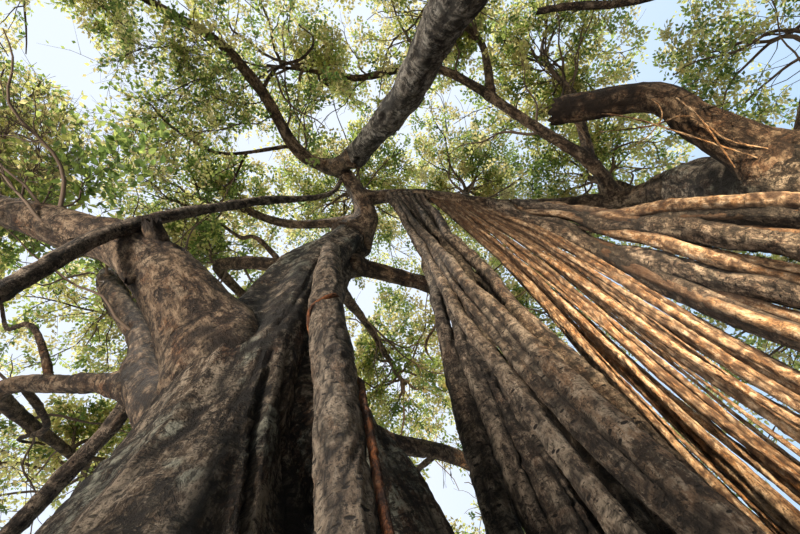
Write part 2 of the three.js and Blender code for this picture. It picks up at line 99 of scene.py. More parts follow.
BEARERS = {
    "outer": [
        ("west_bough", [(-250, -250, 3450, 330), (-1327, -1035, 4400, 262), (-2523, -1299, 5000, 200),
            (-3699, -1527, 5600, 175)]),
        ("north_west_bough", [(-1250, 70, 4050, 130), (-2353, 267, 4600, 98), (-3750, 695, 5200, 92)]),
        ("north_bough", [(-200, -100, 4600, 250), (-450, 1900, 6300, 175)]),
        ("north_east_bough", [(-100, -100, 3900, 170), (880, 1020, 4650, 108), (1930, 1800, 5250, 92)]),
        ("east_bough", [(5300, -1700, 5000, 230), (7600, -900, 6600, 160)]),
        ("south_east_bough", [(5300, -1700, 4900, 240), (7100, -2900, 6400, 165)]),
        ("low_south_bough", [(5350, -1750, 4700, 210), (7000, -4800, 6500, 150)]),
        ("south_bough", [(900, -2700, 7000, 150), (1700, -4300, 8000, 125), (1950, -6300, 8400, 110)]),
        ("south_west_bough", [(365, -2340, 8400, 165), (-238, -2190, 9150, 142), (-900, -2560, 9400, 128),
            (-1620, -3733, 9500, 108), (-2531, -4700, 9600, 95)]),
    ],
    "inner": [
        ("upper_west_bough", [(470, -1180, 8080, 115), (-1158, -1015, 9000, 88), (-2400, -1400, 9400, 76)]),
        ("rear_west_bough", [(-60, -480, 6750, 170), (-822, -477, 7200, 125), (-1688, -458, 7700, 120),
            (-2350, -200, 8350, 112)]),
        ("rear_north_bough", [(0, -500, 6600, 130), (500, 900, 8300, 75)]),
        ("rear_east_bough", [(-20, -600, 6950, 180), (890, -306, 7300, 146), (1663, -50, 7600, 140),
            (3100, 600, 8500, 115)]),
        ("inner_east_bough", [(5400, -1760, 6450, 180), (5900, -1600, 8000, 130)]),
        ("inner_south_east_bough", [(4500, -2200, 7750, 100), (4700, -3500, 8900, 84)]),
        ("inner_south_bough", [(2960, -3480, 8730, 84), (2900, -4600, 9350, 76)]),
        ("arching_bough", [(4950, -1560, 7560, 130), (4500, -2200, 7750, 110), (3618, -2883, 8200, 98),
            (2016, -4152, 9400, 86), (400, -4120, 10000, 74)]),
    ],
    "top": [
        ("top_west_bough", [(300, -1740, 8650, 120), (350, -1700, 9600, 105)]),
        ("top_east_bough", [(2300, -1500, 8560, 120), (2650, -1450, 9600, 105)]),
    ],
}
EXTRA = dict(label="west_high", centre=(-4550, 900, 9500), wide=2300, tall=1600, bough="west_high_bough",
             line=[(-250, 0, 3100, 290), (-1288, 67, 4100, 212), (-1807, -95, 4900, 155),
                   (-3033, -392, 6300, 140), (-3700, -300, 7300, 125)])
# Each row's roots run from the first line to the last. `finer` more thin roots hang between them.
ROOT_ROWS = {
    "prop_root_cluster": dict(
        count=7, stagger=150, finer=10, cross=0.4, stray=150, thick=0.84, kinds=("root",) * 2,
        first=[(1800, 350, 0, 122), (1480, 0, 2300, 108), (1500, -420, 5200, 98), (1560, -700, 6900, 90),
            (960, -1600, 8560, 82)],
        last=[(2800, -150, 0, 128), (2270, -330, 2300, 113), (2130, -700, 5200, 100),
            (1950, -1000, 6900, 90), (1600, -1600, 8640, 82)]),
    "crossing_roots": dict(
        count=2, stagger=0, finer=2, cross=0.3, stray=60, thick=0.66, kinds=("pale_root",) * 2,
        first=[(2150, -420, 0, 100), (1750, -480, 2300, 92), (1480, -760, 5200, 86),
            (1300, -1150, 7200, 80), (1050, -1600, 8600, 76)],
        last=[(2420, -560, 0, 105), (1950, -640, 2300, 94), (1650, -930, 5200, 86), (1380, -1205, 7200, 80),
            (1140, -1600, 8610, 74)]),
    "curtain_roots_low": dict(
        count=6, stagger=90, finer=15, cross=0.9, stray=330, thick=0.66, kinds=("sunlit_root",) * 2,
        first=[(3700, 1150, 0, 88), (3540, 620, 3600, 76), (2860, -540, 6700, 66), (1780, -1590, 8690, 60)],
        last=[(4300, 650, 0, 88), (3980, 260, 3600, 76), (3150, -720, 6700, 66), (2150, -1540, 8680, 60)]),
    "curtain_roots_high": dict(
        count=6, stagger=90, finer=15, cross=0.9, stray=330, thick=0.66, kinds=("sunlit_root",) * 2,
        first=[(4480, 480, 0, 84), (4120, 130, 3600, 74), (3280, -780, 6700, 66), (2270, -1530, 8660, 60)],
        last=[(4900, -150, 0, 84), (4420, -250, 3600, 74), (3560, -1000, 6700, 66),
            (2640, -1460, 8600, 60)]),
    "great_roots": dict(
        count=4, stagger=120, finer=12, cross=0.5, stray=200, thick=0.84, kinds=("root", "sunlit_root"),
        first=[(5050, -480, 0, 175), (4420, -560, 4000, 152), (3830, -960, 6600, 138),
            (2900, -1420, 8540, 120)],
        last=[(4550, -1750, 0, 165), (4500, -1650, 4000, 148), (4230, -1420, 6500, 135),
            (3700, -1380, 8300, 118)]),
    "far_roots": dict(
        count=3, stagger=60, finer=3, cross=0.3, stray=100, thick=0.9, kinds=("sunlit_root",) * 2,
        first=[(7300, -3900, 0, 120), (7050, -3480, 3500, 100), (6880, -2860, 6250, 90)],
        last=[(7900, -3700, 0, 120), (7400, -3400, 3500, 100), (7080, -2920, 6380, 90)]),
}
# The young root that winds round front_prop_root
VINE = dict(turns=1.15, steps=11, radius=21, low=0.02, high=0.66)

# Bark relief by kind, in millimetres: how deep the long folds, lumps, cross wrinkles and pores are,
# how far apart the knots and ring scars sit along a limb, and how much lichen and warm bark there is.
RELIEF_VALUES = ("folds", "lumps", "wrinkles", "pores", "knots", "rings", "lichen", "warm")
RELIEF = {
    "trunk": (3, 15, 14, 4.0, 620, 380, 0.8, 0.5),
    "bough": (4, 12, 6, 2.2, 800, 380, 0.30, 0.6),
    "pillar": (6, 16, 6, 2.2, 700, 280, 0.7, 0.1),
    "root": (6, 17, 4, 2.6, 290, 330, 0.40, 0.4),
    "pale_root": (4, 14, 3, 2.2, 600, 400, 0.30, 0.4),
    "sunlit_root": (5, 13, 2, 1.8, 700, 520, 0.30, 0.7),
    "vine": (0, 3, 1, 0.6, 0, 160, 0.0, 0.9),
}
# Long folds down the main trunk: places (height, azimuth in degrees) along each, then half its width
# and its depth in millimetres. A fold with a depth below zero is a ridge.
TRUNK_FOLDS = [
    ([(0, 316), (1800, 303), (2400, 297), (2900, 292)], 150, 120),
    ([(600, 321), (1930, 313), (2250, 305), (2800, 295), (3300, 292)], 17, 90),
    ([(800, 352), (2390, 337), (2630, 324), (2810, 308), (3500, 300)], 17, 60),
    ([(300, 250), (2000, 256), (3400, 260), (4300, 268)], 40, -34),
    ([(200, 20), (2500, 12), (5200, 350)], 26, 60),
    ([(0, 90), (3000, 102), (5600, 96)], 30, 60),
    ([(0, 150), (2600, 160), (5000, 150)], 34, 70),
    ([(2600, 285), (4000, 292), (5600, 300), (7000, 310)], 14, 30),
]

# Finer limbs of the scene alone: stations (x, y, z, radius), the solid that each goes with, its bark's
# kind, and how deep its broken end is, or 0 for a whole one.
FINE_LIMBS = [
    ("west_bough", "stub", 100, [(-1221, -925, 4459, 96), (-1246, -1231, 4429, 92),
        (-1285, -1514, 4412, 74)]),
    ("west_bough", "stub", 45, [(-1220, -1043, 4309, 44), (-1225, -1011, 4064, 42),
        (-1289, -965, 3928, 36)]),
    ("broken_bough", "sunlit_root", 0, [(3560, -2740, 6112, 13), (3873, -2576, 5558, 12),
        (4249, -2310, 5065, 11), (4624, -2044, 4595, 9)]),
    ("broken_bough", "sunlit_root", 0, [(3738, -2474, 6019, 10), (4041, -2470, 5458, 11),
        (4207, -2520, 5079, 12), (4482, -2242, 4824, 10), (4712, -2114, 4520, 8)]),
    ("broken_bough", "sunlit_root", 0, [(4165, -2835, 5393, 12), (4231, -2553, 5030, 11),
        (4392, -2247, 4872, 9), (4511, -1952, 4717, 7)]),
    ("broken_bough", "sunlit_root", 0, [(3964, -2926, 5611, 10), (4073, -2603, 5319, 9),
        (4017, -2373, 5404, 8), (3919, -2213, 5648, 5)]),
    ("south_west_bough", "bough", 0, [(-1000, -2600, 9400, 46), (-1500, -2540, 9350, 44),
        (-2386, -2431, 8951, 36), (-2854, -2736, 8500, 30), (-3286, -3238, 8300, 20)]),
    ("south_west_bough", "bough", 0, [(-1900, -2480, 9190, 26), (-2300, -1900, 9300, 22),
        (-2750, -1700, 9250, 18), (-3300, -1900, 9500, 12)]),
    ("south_west_bough", "bough", 0, [(-1620, -3733, 9500, 40), (-1200, -4100, 9250, 34),
        (-700, -4300, 9300, 28), (-500, -4700, 9500, 20), (-900, -5100, 9800, 14)]),
    ("low_south_bough", "bough", 60, [(7000, -4800, 6500, 62), (6100, -4900, 6800, 66),
        (4808, -4564, 7237, 64), (3700, -4480, 7300, 60), (3229, -4411, 7327, 56)]),
    ("inner_south_east_bough", "bough", 0, [(4560, -2550, 7950, 34), (4300, -3300, 8500, 30),
        (4500, -4000, 9100, 24), (4200, -4600, 9700, 16)]),
    ("rear_east_bough", "bough", 0, [(1663, -50, 7600, 44), (1900, 700, 8000, 36), (1700, 1500, 8500, 28),
        (2100, 2200, 9000, 18)]),
    ("north_east_bough", "bough", 0, [(1500, 1500, 5020, 46), (1300, 2100, 5400, 38),
        (1450, 2900, 5900, 28), (1200, 3600, 6500, 18)]),
    ("rear_west_bough", "bough", 0, [(-822, -477, 7200, 52), (-1300, -900, 7500, 44),
        (-1700, -850, 7900, 34), (-2300, -1100, 8400, 22)]),
    ("north_west_bough", "bough", 0, [(-2700, 330, 4700, 46), (-3300, -100, 5300, 38),
        (-4200, 100, 5900, 30), (-4900, -200, 6600, 20)]),
    ("north_west_bough", "bough", 0, [(-3200, 500, 4950, 50), (-3600, 1300, 5500, 40),
        (-4500, 1900, 6100, 30), (-5000, 2600, 7000, 20)]),
]
# Thin roots that hang from boughs: the bough, the first and last place along it, how many, their least
# and greatest length, and their radius.
HANGING = [
    ("north_east_bough", 0.35, 0.62, 9, 250, 900, 7),
    ("broken_bough", 0.15, 0.75, 8, 200, 700, 10),
    ("west_bough", 0.30, 0.50, 5, 120, 420, 6),
    ("rear_east_bough", 0.2, 0.6, 5, 200, 900, 6),
    ("low_south_bough", 0.25, 0.62, 16, 1200, 3000, 11),
    ("south_east_bough", 0.3, 0.62, 14, 1200, 2800, 11),
    ("east_bough", 0.3, 0.62, 10, 1000, 2600, 11),
    ("south_bough", 0.35, 0.60, 6, 600, 1800, 8),
    ("north_bough", 0.35, 0.60, 8, 800, 2400, 9),
    ("north_west_bough", 0.3, 0.6, 6, 500, 1500, 8),
]
LOWEST_END = 600  # hanging roots end at least so far above the ground

# Foliage: how many of each part one outer mass bears, how long and thick they grow, and how leaves look.
SIDE_LIMBS, SIDE_TWIGS = 8, 5  # on each bough that ends in foliage, and on each side limb
SIDE_LONG, SIDE_THICK = (1300, 3300), (15, 32)
BRANCHES = 17
TWIGS = 10
SPRAYS = 10
LEAVES = 13
LEAF_LONG = (72.0, 102.0)
LEAF_WIDE = 0.60  # of its length
LEAF_DROOP, LEAF_GLOW = 0.16, 0.64
LEAF_ROUGH, LEAF_GLOSS = 0.42, 0.45
STALK_LONG = (5, 30)
BRANCH_THICK, TWIG_THICK, SPRAY_THICK = (26, 46), (7, 13), (2.6, 4.4)
TWIG_LONG, SPRAY_LONG = (0.36, 0.74), (170, 520)  # a twig's as a share of its branch's length
SHORTEST_BRANCH, SHORTEST_TWIG = 350, 220
STICK_SWAYS = [(1, 0.02, 0.07), (2, 0.01, 0.035), (3.5, 0.004, 0.016)]  # waves, least and most sway
NEAR = 6300.0  # leaves nearer to the eye than this have a finer outline
OVER = 1.38  # how far branches fill the gaps round a mass's ball, within the crown's own reach
LEAF_KINDS = {
    "leaves_dark_green": dict(share=0.22, color=(0.026, 0.052, 0.016), glow=(0.22, 0.32, 0.08)),
    "leaves_green": dict(share=0.20, color=(0.045, 0.085, 0.020), glow=(0.52, 0.62, 0.17)),
    "leaves_yellow_green": dict(share=0.22, color=(0.120, 0.140, 0.034), glow=(0.92, 0.90, 0.32)),
    "leaves_olive": dict(share=0.18, color=(0.090, 0.080, 0.030), glow=(0.76, 0.66, 0.30)),
    "leaves_ochre": dict(share=0.18, color=(0.200, 0.160, 0.062), glow=(0.98, 0.86, 0.42)),
}

# Clear lanes from the eye through the crown, where the sky shows: a pixel and a radius in pixels.
SKY_GAPS = [(66, 48, 17), (235, 243, 9), (332, 118, 13), (445, 492, 14), (580, 338, 15), (778, 66, 20),
            (20, 520, 10), (548, 40, 8), (95, 470, 7)]

# Leafy shoots on boughs: the bough, the place along it, the tip's offset from there, its radius, the
# share of its leaves that it keeps, and how large they are. Ones near the eye have larger, darker leaves.
SPROUTS = [
    ("west_bough", 0.50, (-250, -650, 1100), 15, 0.20, 1.3),
    ("west_bough", 0.58, (-500, -100, 900), 14, 0.20, 1.3),
    ("west_bough", 0.44, (350, -700, 700), 12, 0.20, 1.3),
    ("west_bough", 0.66, (-300, 500, 800), 12, 0.20, 1.3),
    ("west_high_bough", 0.55, (-500, -500, 600), 10, 0.20, 1.3),
    ("upper_west_bough", 0.50, (-300, -600, 350), 10, 0.20, 1.3),
    ("rear_west_bough", 0.62, (-200, -350, 500), 9, 0.20, 1.3),
    ("south_west_bough", 0.48, (-1050, 250, -700), 16, 0.17, 1),
    ("south_west_bough", 0.58, (-1250, 950, -1250), 18, 0.17, 1),
    ("south_west_bough", 0.66, (-1150, 700, -1400), 16, 0.17, 1),
    ("south_west_bough", 0.44, (-1650, 750, -1200), 16, 0.17, 1),
    ("south_west_bough", 0.62, (-1350, 1850, -1550), 18, 0.17, 1),
    ("south_west_bough", 0.70, (-150, 600, -600), 14, 0.17, 1),
    ("west_bough", 0.62, (150, -1400, 650), 16, 0.10, 1),
    ("west_bough", 0.56, (100, -950, 550), 14, 0.10, 1),
]


def seeded(seed):
    """A number from 0 to 1 for each call, the same as the source's."""
    full = 0xFFFFFFFF
    state = seed

    def draw():
        nonlocal state
        state = (state + 0x6D2B79F5) & full
        mixed = ((state ^ (state >> 15)) * (state | 1)) & full
        mixed ^= (mixed + (((mixed ^ (mixed >> 7)) * (mixed | 61)) & full)) & full
        return (mixed ^ (mixed >> 14)) / 4294967296

    return draw


def mix(a, b, share):
    return a + (b - a) * share


def unit(ways):
    return ways / np.maximum(np.linalg.norm(ways, axis=-1, keepdims=True), 1e-9)


def smooth(low, high, value):
    share = np.clip((value - low) / (high - low), 0, 1)
    return share * share * (3 - 2 * share)


def noise(points, seed):
    """Smooth noise from -1 to 1 with cells of size 1."""
    cell = np.floor(points).astype(np.int64)
    part = points - cell
    part = part * part * (3 - 2 * part)
    total = np.zeros(points.shape[:-1])
    for corner in product((0, 1), repeat=3):
        x, y, z = np.moveaxis(cell + np.array(corner), -1, 0)
        value = (x * 73856093) ^ (y * 19349663) ^ (z * 83492791) ^ (seed * 40503 + 977)
        value &= 0xFFFFFFFF
        value = ((value ^ (value >> 15)) * 0x2C1B3C6D) & 0xFFFFFFFF
        value = ((value ^ (value >> 12)) * 0x297A2D39) & 0xFFFFFFFF
        value ^= value >> 15
        weight = np.prod(np.where(corner, part, 1 - part), axis=-1)
        total += weight * (value / 2147483648.0 - 1)
    return total


def noise_along(run, seed, row=0.0, layer=0.0):
    """Smooth noise along a line through the noise's space, at a row and a layer."""
    return noise(np.stack([run, 0 * run + row, 0 * run + layer], -1), seed)


# The camera

def camera_axes():
    """The camera's right, up and forward ways in the tree's frame."""
    zenith = np.array([ZENITH[0] - PICTURE[0] / 2, PICTURE[1] / 2 - ZENITH[1], FOCAL])
    zenith = zenith / np.linalg.norm(zenith)
    east = np.array([1.0, 0, 0]) - zenith * zenith[0]
    east = east / np.linalg.norm(east)
    north = np.cross(east, zenith)
    return np.stack([east, north, zenith], 1)


AXES = camera_axes()


def pixel_ways(pixels):
    """Ways out of the eye through pixels of the picture."""
    pixels = np.asarray(pixels, float)
    flat = np.stack([pixels[:, 0] - PICTURE[0] / 2, PICTURE[1] / 2 - pixels[:, 1],
                     np.full(len(pixels), FOCAL)], 1)
    return unit(flat @ AXES)


def add_camera():
    data = bpy.data.cameras.new("camera")
    data.sensor_width = 36
    data.lens = 36 * FOCAL / PICTURE[0]
    data.clip_end = 300
    camera = bpy.data.objects.new("camera", data)
    right, up, forward = AXES
    turn = Matrix((right, up, -forward)).transposed()
    camera.matrix_world = Matrix.Translation(np.array(EYE) * MM) @ turn.to_4x4()
    bpy.context.scene.collection.objects.link(camera)
    bpy.context.scene.camera = camera


# Limbs

SWAY_LONG, SWAY_SHORT = 1300.0, 480.0
SWAY_ROWS = (0.4, 11.4, 23.4)
VARY_LONG = 420  # how far apart a limb's thick and thin places are
FLUTES_FADE, FLUTES_TURN = 900, 9000  # the heights over which a trunk's flutes fade and turn


class Limb:
    """A limb's axis and radius, from the station `start` to the station `end`."""

    def __init__(self, stations, start=0, end=None, flutes=None, flare=False, sway=0.0, vary=0.0, seed=0):
        self.points = np.array([station[:3] for station in stations], float)
        self.radii = np.array([station[3] for station in stations], float)
        self.last = len(stations) - 1
        self.start, self.end = start, self.last if end is None else end
        self.flutes, self.flare, self.sway, self.vary, self.seed = flutes, flare, sway, vary, seed
        self.length = np.linalg.norm(np.diff(self.points, axis=0), axis=1).sum()
        before = 2 * self.points[0] - self.points[1]
        after = 2 * self.points[-1] - self.points[-2]
        self.padded = np.vstack([before, self.points, after])

    def curve(self, place):
        i = np.clip(np.floor(place).astype(int), 0, self.last - 1)
        t = (place - i)[..., None]
        p0, p1, p2, p3 = (self.padded[i + k] for k in range(4))
        slope1, slope2 = (p2 - p0) / 2, (p3 - p1) / 2
        bend = -3 * p1 + 3 * p2 - 2 * slope1 - slope2
        turn = 2 * p1 - 2 * p2 + slope1 + slope2
        return p1 + slope1 * t + bend * t * t + turn * t ** 3

    def place(self, t):
        return mix(self.start, self.end, np.asarray(t, float))

    def at(self, t):
        t = np.asarray(t, float)
        here = self.curve(self.place(t))
        if not self.sway:
            return here
        run = t * self.length
        bends = [noise_along(run / SWAY_LONG, 51, self.seed * 3.1 + k)
                 + 0.35 * noise_along(run / SWAY_SHORT, 52, self.seed * 1.7 + k) for k in SWAY_ROWS]
        held = smooth(0, 0.12, t) * smooth(1, 0.9, t)
        return here + self.sway * np.stack(bends, -1) * np.array([1, 1, 0.3]) * held[..., None]

    def along(self, t):
        step = 1e-3
        t = np.asarray(t, float)
        return unit(self.at(np.minimum(t + step, 1)) - self.at(np.maximum(t - step, 0)))

    def plain_radius(self, t):
        """The radius before flutes and relief."""
        here = self.at(t)
        plain = np.interp(self.place(t), np.arange(self.last + 1), self.radii)
        run = np.asarray(t, float) * self.length
        plain = plain * (1 + self.vary * noise_along(run / VARY_LONG, 53, self.seed))
        spread = FLARE[0] * np.exp(-here[..., 2] / FLARE[1]) if self.flare else 0
        return plain + spread

    def radius(self, t, angle):
        radius = self.plain_radius(t)[:, None] * np.ones_like(angle)[None, :]
        if self.flutes:
            depth, phase = self.flutes
            height = self.at(t)[:, 2][:, None]
            deep = depth * (1 + np.exp(-height / FLUTES_FADE))
            radius = radius * (1 + deep * fluting(angle[None, :], height, phase))
        return radius


def fluting(angle, height, phase):
    turn = height / FLUTES_TURN
    broad = np.cos(3 * angle + phase)
    ribs = np.cos(5 * (angle - turn) + 0.9 + 2 * phase)
    folds = np.cos(7 * (angle + turn) + 2.1 - phase)
    return 0.4 * broad + 0.35 * ribs + 0.35 * folds


# Meshes

class Shape:
    """Points and faces of one piece, with the bark's own coordinates and tones at each point."""

    def __init__(self):
        self.points, self.quads, self.tris, self.bark, self.tone, self.count = [], [], [], [], [], 0

    def add(self, points, quads=None, tris=None, bark=None, tone=None):
        points = np.asarray(points, float).reshape(-1, 3)
        self.points.append(points)
        if quads is not None:
            self.quads.append(np.asarray(quads).reshape(-1, 4) + self.count)
        if tris is not None:
            self.tris.append(np.asarray(tris).reshape(-1, 3) + self.count)
        if bark is not None:
            self.bark.append(np.asarray(bark).reshape(-1, 3))
            self.tone.append(np.asarray(tone).reshape(-1, 4))
        self.count += len(points)

    def build(self, name, material, rounded=True):
        points = np.concatenate(self.points) * MM
        points[:, 2] = np.maximum(points[:, 2], 0)
        quads = np.concatenate(self.quads) if self.quads else np.zeros((0, 4), int)
        tris = np.concatenate(self.tris) if self.tris else np.zeros((0, 3), int)
        mesh = bpy.data.meshes.new(name)
        mesh.vertices.add(len(points))
        mesh.vertices.foreach_set("co", points.ravel())
        corners = np.concatenate([quads.ravel(), tris.ravel()])
        mesh.loops.add(len(corners))
        mesh.loops.foreach_set("vertex_index", corners)
        starts = np.concatenate([np.arange(len(quads)) * 4, len(quads) * 4 + np.arange(len(tris)) * 3])
        mesh.polygons.add(len(starts))
        mesh.polygons.foreach_set("loop_start", starts)
        if self.bark:
            bark = mesh.attributes.new("bark", "FLOAT_VECTOR", "POINT")
            bark.data.foreach_set("vector", (np.concatenate(self.bark) * MM).ravel())
            tone = mesh.attributes.new("tone", "FLOAT_COLOR", "POINT")
            tone.data.foreach_set("color", np.concatenate(self.tone).ravel())
        mesh.update(calc_edges=True)
        mesh.validate()
        mesh.polygons.foreach_set("use_smooth", np.full(len(mesh.polygons), rounded))
        mesh.materials.append(material)
        piece = bpy.data.objects.new(name, mesh)
        bpy.context.scene.collection.objects.link(piece)
        return piece


def stand_for(piece, slot, *nodes):
    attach(piece, "root")
    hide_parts(*nodes)


# Bark

FINEST, COARSEST, FACET_SHARE = 13.0, 75.0, 0.0068
UNSEEN, FINEST_UNSEEN = 1700, 42  # below this height facets may be coarser
FEWEST_RINGS, MOST_SIDES = 6, 230
HOST_SWELL, GUEST_SWELL = 0.42, 0.22  # how far limbs swell towards each other, as a share of a radius
PAINTED_SHADE_REACH = 72  # how far from the limbs beside it a limb is darkened with painted shade
END_SMOOTH = 60  # the length over which relief fades out at a closed end
WIDE_FOLD = 60  # folds wider than this are less dark


def facet_size(points):
    """How large a facet may be: finer near the eye, coarser below what it sees."""
    away = np.linalg.norm(points - np.array(EYE), axis=-1)
    size = np.clip(away * FACET_SHARE, FINEST, COARSEST)
    return np.where(points[..., 2] < UNSEEN, np.maximum(size, FINEST_UNSEEN), size)


def ring_places(limb, stretch):
    grid = np.linspace(0, 1, 500)
    points = limb.at(grid)
    steps = np.linalg.norm(np.diff(points, axis=0), axis=1)
    sizes = facet_size(points) * stretch
    counted = np.concatenate([[0], np.cumsum(steps / ((sizes[1:] + sizes[:-1]) / 2))])
    count = max(int(math.ceil(counted[-1])), FEWEST_RINGS)
    return np.interp(np.linspace(0, counted[-1], count + 1), counted, grid)


def sides_for(limb, fewest):
    grid = np.linspace(0, 1, 60)
    around = 2 * math.pi * limb.plain_radius(grid) / facet_size(limb.at(grid))
    return int(np.clip(np.percentile(around, 75), fewest, MOST_SIDES))


def relief_of(local, radius, length, kind, seed):
    """Height of the bark over the plain limb, and its tones: shade, lichen and warm bark."""
    values = dict(zip(RELIEF_VALUES, RELIEF[kind]))
    rng = np.random.default_rng(seed)
    spot = local + rng.uniform(-4000, 4000, 3)
    size = np.minimum(radius / 150.0, 1.6)[..., None]

    def cells(wide, long, layer, at=spot, grow=1.0):
        """Noise with cells so wide round the limb and so long along it."""
        return noise(at / (np.array([wide, wide, long]) * grow), layer)

    lumps = cells(210, 420, 1, grow=size) + 0.5 * cells(90, 150, 2, grow=size)
    fold_line = cells(260, 2100, 3, grow=size) + 0.12 * cells(120, 120, 4)
    fold = np.exp(-(fold_line / 0.055) ** 2)
    wide_fold = np.exp(-(fold_line / 0.16) ** 2)
    sway = cells(300, 300, 5) * 110
    bent = spot + np.stack([0 * sway, 0 * sway, sway], -1)
    wrinkle, coarse = cells(170, 42, 6, bent), cells(300, 70, 7, bent)
    patch = smooth(-0.25, 0.45, cells(330, 500, 8))
    creases = (1 - np.abs(wrinkle)) ** 3
    pores = cells(26, 15, 9)
    height = values["lumps"] * lumps * np.minimum(radius / 150, 1.5)
    height = height - values["folds"] * (0.7 * fold + 0.6 * wide_fold)
    height = height + values["wrinkles"] * patch * (0.9 * wrinkle + 0.8 * coarse - 0.6 * creases)
    height = height + values["pores"] * pores
    shade = 0.85 * fold + 0.25 * wide_fold + 0.85 * patch * smooth(0.50, 0.88, creases)
    shade = shade + 0.6 * smooth(0.35, 0.7, pores) * smooth(-0.1, 0.4, cells(210, 210, 10))
    shade = shade - 0.3 * lumps + 0.5 * smooth(0.25, 0.6, cells(190, 75, 15)) * patch
    lichen = smooth(0.12, 0.5, cells(260, 420, 11) + 0.45 * cells(60, 60, 12))
    warm = smooth(0.15, 0.6, cells(230, 340, 13) + 0.3 * cells(50, 50, 14))
    for spacing, add in ((values["knots"], add_knot), (values["rings"], add_ring)):
        for _ in range(int(length / spacing) if spacing else 0):
            height, shade, warm = add(local, radius, length, rng, height, shade, warm)
    tone = np.stack([np.clip(shade, 0, 1), lichen * values["lichen"], np.clip(warm * values["warm"], 0, 1),
                     np.ones_like(shade)], -1)
    return height, tone


def add_knot(local, radius, length, rng, height, shade, warm):
    """A swollen scar with a dark hollow in it."""
    centre = rng.uniform(0, 1) * length
    angle = rng.uniform(0, 2 * math.pi)
    size = rng.uniform(24, 52) * np.clip(np.median(radius) / 120, 0.5, 1.8)
    side = np.arctan2(local[..., 1], local[..., 0]) - angle
    across = np.abs((side + math.pi) % (2 * math.pi) - math.pi) * radius
    away = np.sqrt(across ** 2 + ((local[..., 2] - centre) * rng.uniform(0.3, 0.7)) ** 2) / size
    rim = np.exp(-((away - 1) / 0.5) ** 2)
    hollow = np.exp(-(away / 0.75) ** 4)
    deep = rng.uniform(0.2, 0.75)
    height = height + size * 0.28 * rim - size * deep * hollow
    return height, shade + 0.95 * hollow * deep * 1.6 + 0.15 * rim, warm + 0.5 * rim * (deep > 0.55)


def add_ring(local, radius, length, rng, height, shade, warm):
    """A curved scar part of the way round the limb."""
    centre = rng.uniform(0, 1) * length
    angle = rng.uniform(0, 2 * math.pi)
    side = np.arctan2(local[..., 1], local[..., 0]) - angle
    bow = np.cos(side) * radius * rng.uniform(-0.5, 0.5)
    away = local[..., 2] - centre - bow
    thick = rng.uniform(6, 13)
    reach = smooth(rng.uniform(-0.9, 0.3), 0.9, np.cos(side))
    line = np.exp(-(away / thick) ** 2) * reach
    lip = np.exp(-((away - 1.9 * thick) / (1.3 * thick)) ** 2) * reach
    return height - 4.5 * line + 5.5 * lip, shade + 0.7 * line, warm


def outside_of(points, others, samples=160):
    """How far points lie outside the nearest of other limbs, and that limb's radius there."""
    flat = points.reshape(-1, 3)
    best, size = np.full(len(flat), 1e9), np.ones(len(flat))
    for other in others:
        grid = np.linspace(0, 1, samples)
        centre, radius = other.at(grid), other.plain_radius(grid)
        for start in range(0, len(flat), 20000):
            part = slice(start, start + 20000)
            away = np.linalg.norm(flat[part, None] - centre[None], axis=-1) - radius[None]
            near = away.argmin(1)
            gap = away[np.arange(len(near)), near]
            closer = gap < best[part]
            best[part] = np.where(closer, gap, best[part])
            size[part] = np.where(closer, radius[near], size[part])
    return best.reshape(points.shape[:-1]), size.reshape(points.shape[:-1])


def folded(height, angle, radius, shade):
    """The main trunk's own long folds: their depth and shade."""
    deep = np.zeros_like(radius)
    for places, wide, depth in TRUNK_FOLDS:
        levels, turns = zip(*places)
        middle = np.interp(height, levels, np.unwrap(np.radians(turns)))
        middle = middle + 0.035 * noise_along(height / 330, 17, layer=wide)
        arc = (angle[None, :] - middle[:, None] + math.pi) % (2 * math.pi) - math.pi
        ends = smooth(levels[0] - 200, levels[0] + 500, height)
        ends = ends * smooth(levels[-1] + 300, levels[-1] - 500, height)
        line = np.exp(-np.abs(arc * radius / wide) ** 1.6) * ends[:, None]
        deep = deep - depth * line
        dark = 0.9 if depth > 0 else -0.5
        shade = shade + dark * line * (wide < WIDE_FOLD) + 0.35 * line * (wide > WIDE_FOLD)
    return deep, shade


def ring_axes(along):
    """Two ways across the limb at each ring, which turn no more than the limb does."""
    side = np.zeros_like(along)
    now = np.array([1.0, 0, 0])
    for i, way in enumerate(along):
        now = now - way * (now @ way)
        now = now / np.linalg.norm(now)
        side[i] = now
    return side, np.cross(along, side)


def tube_quads(rings, sides, count=1):
    """The quads between the rings of each of so many tubes."""
    n, i, j = np.meshgrid(np.arange(count), np.arange(rings - 1), np.arange(sides), indexing="ij")
    first = (n * rings + i) * sides
    near, far = first + j, first + (j + 1) % sides
    return np.stack([near, far, far + sides, near + sides], -1)


def tube_faces(rings, sides):
    """The quads between rings, and the fans from both ends' rims to their hubs."""
    hub = rings * sides
    first = np.arange(sides)
    last = first + hub - sides
    fans = [np.stack([np.full(sides, hub), np.roll(first, -1), first], -1),
            np.stack([last, np.roll(last, -1), np.full(sides, hub + 1)], -1)]
    return tube_quads(rings, sides), np.concatenate(fans)


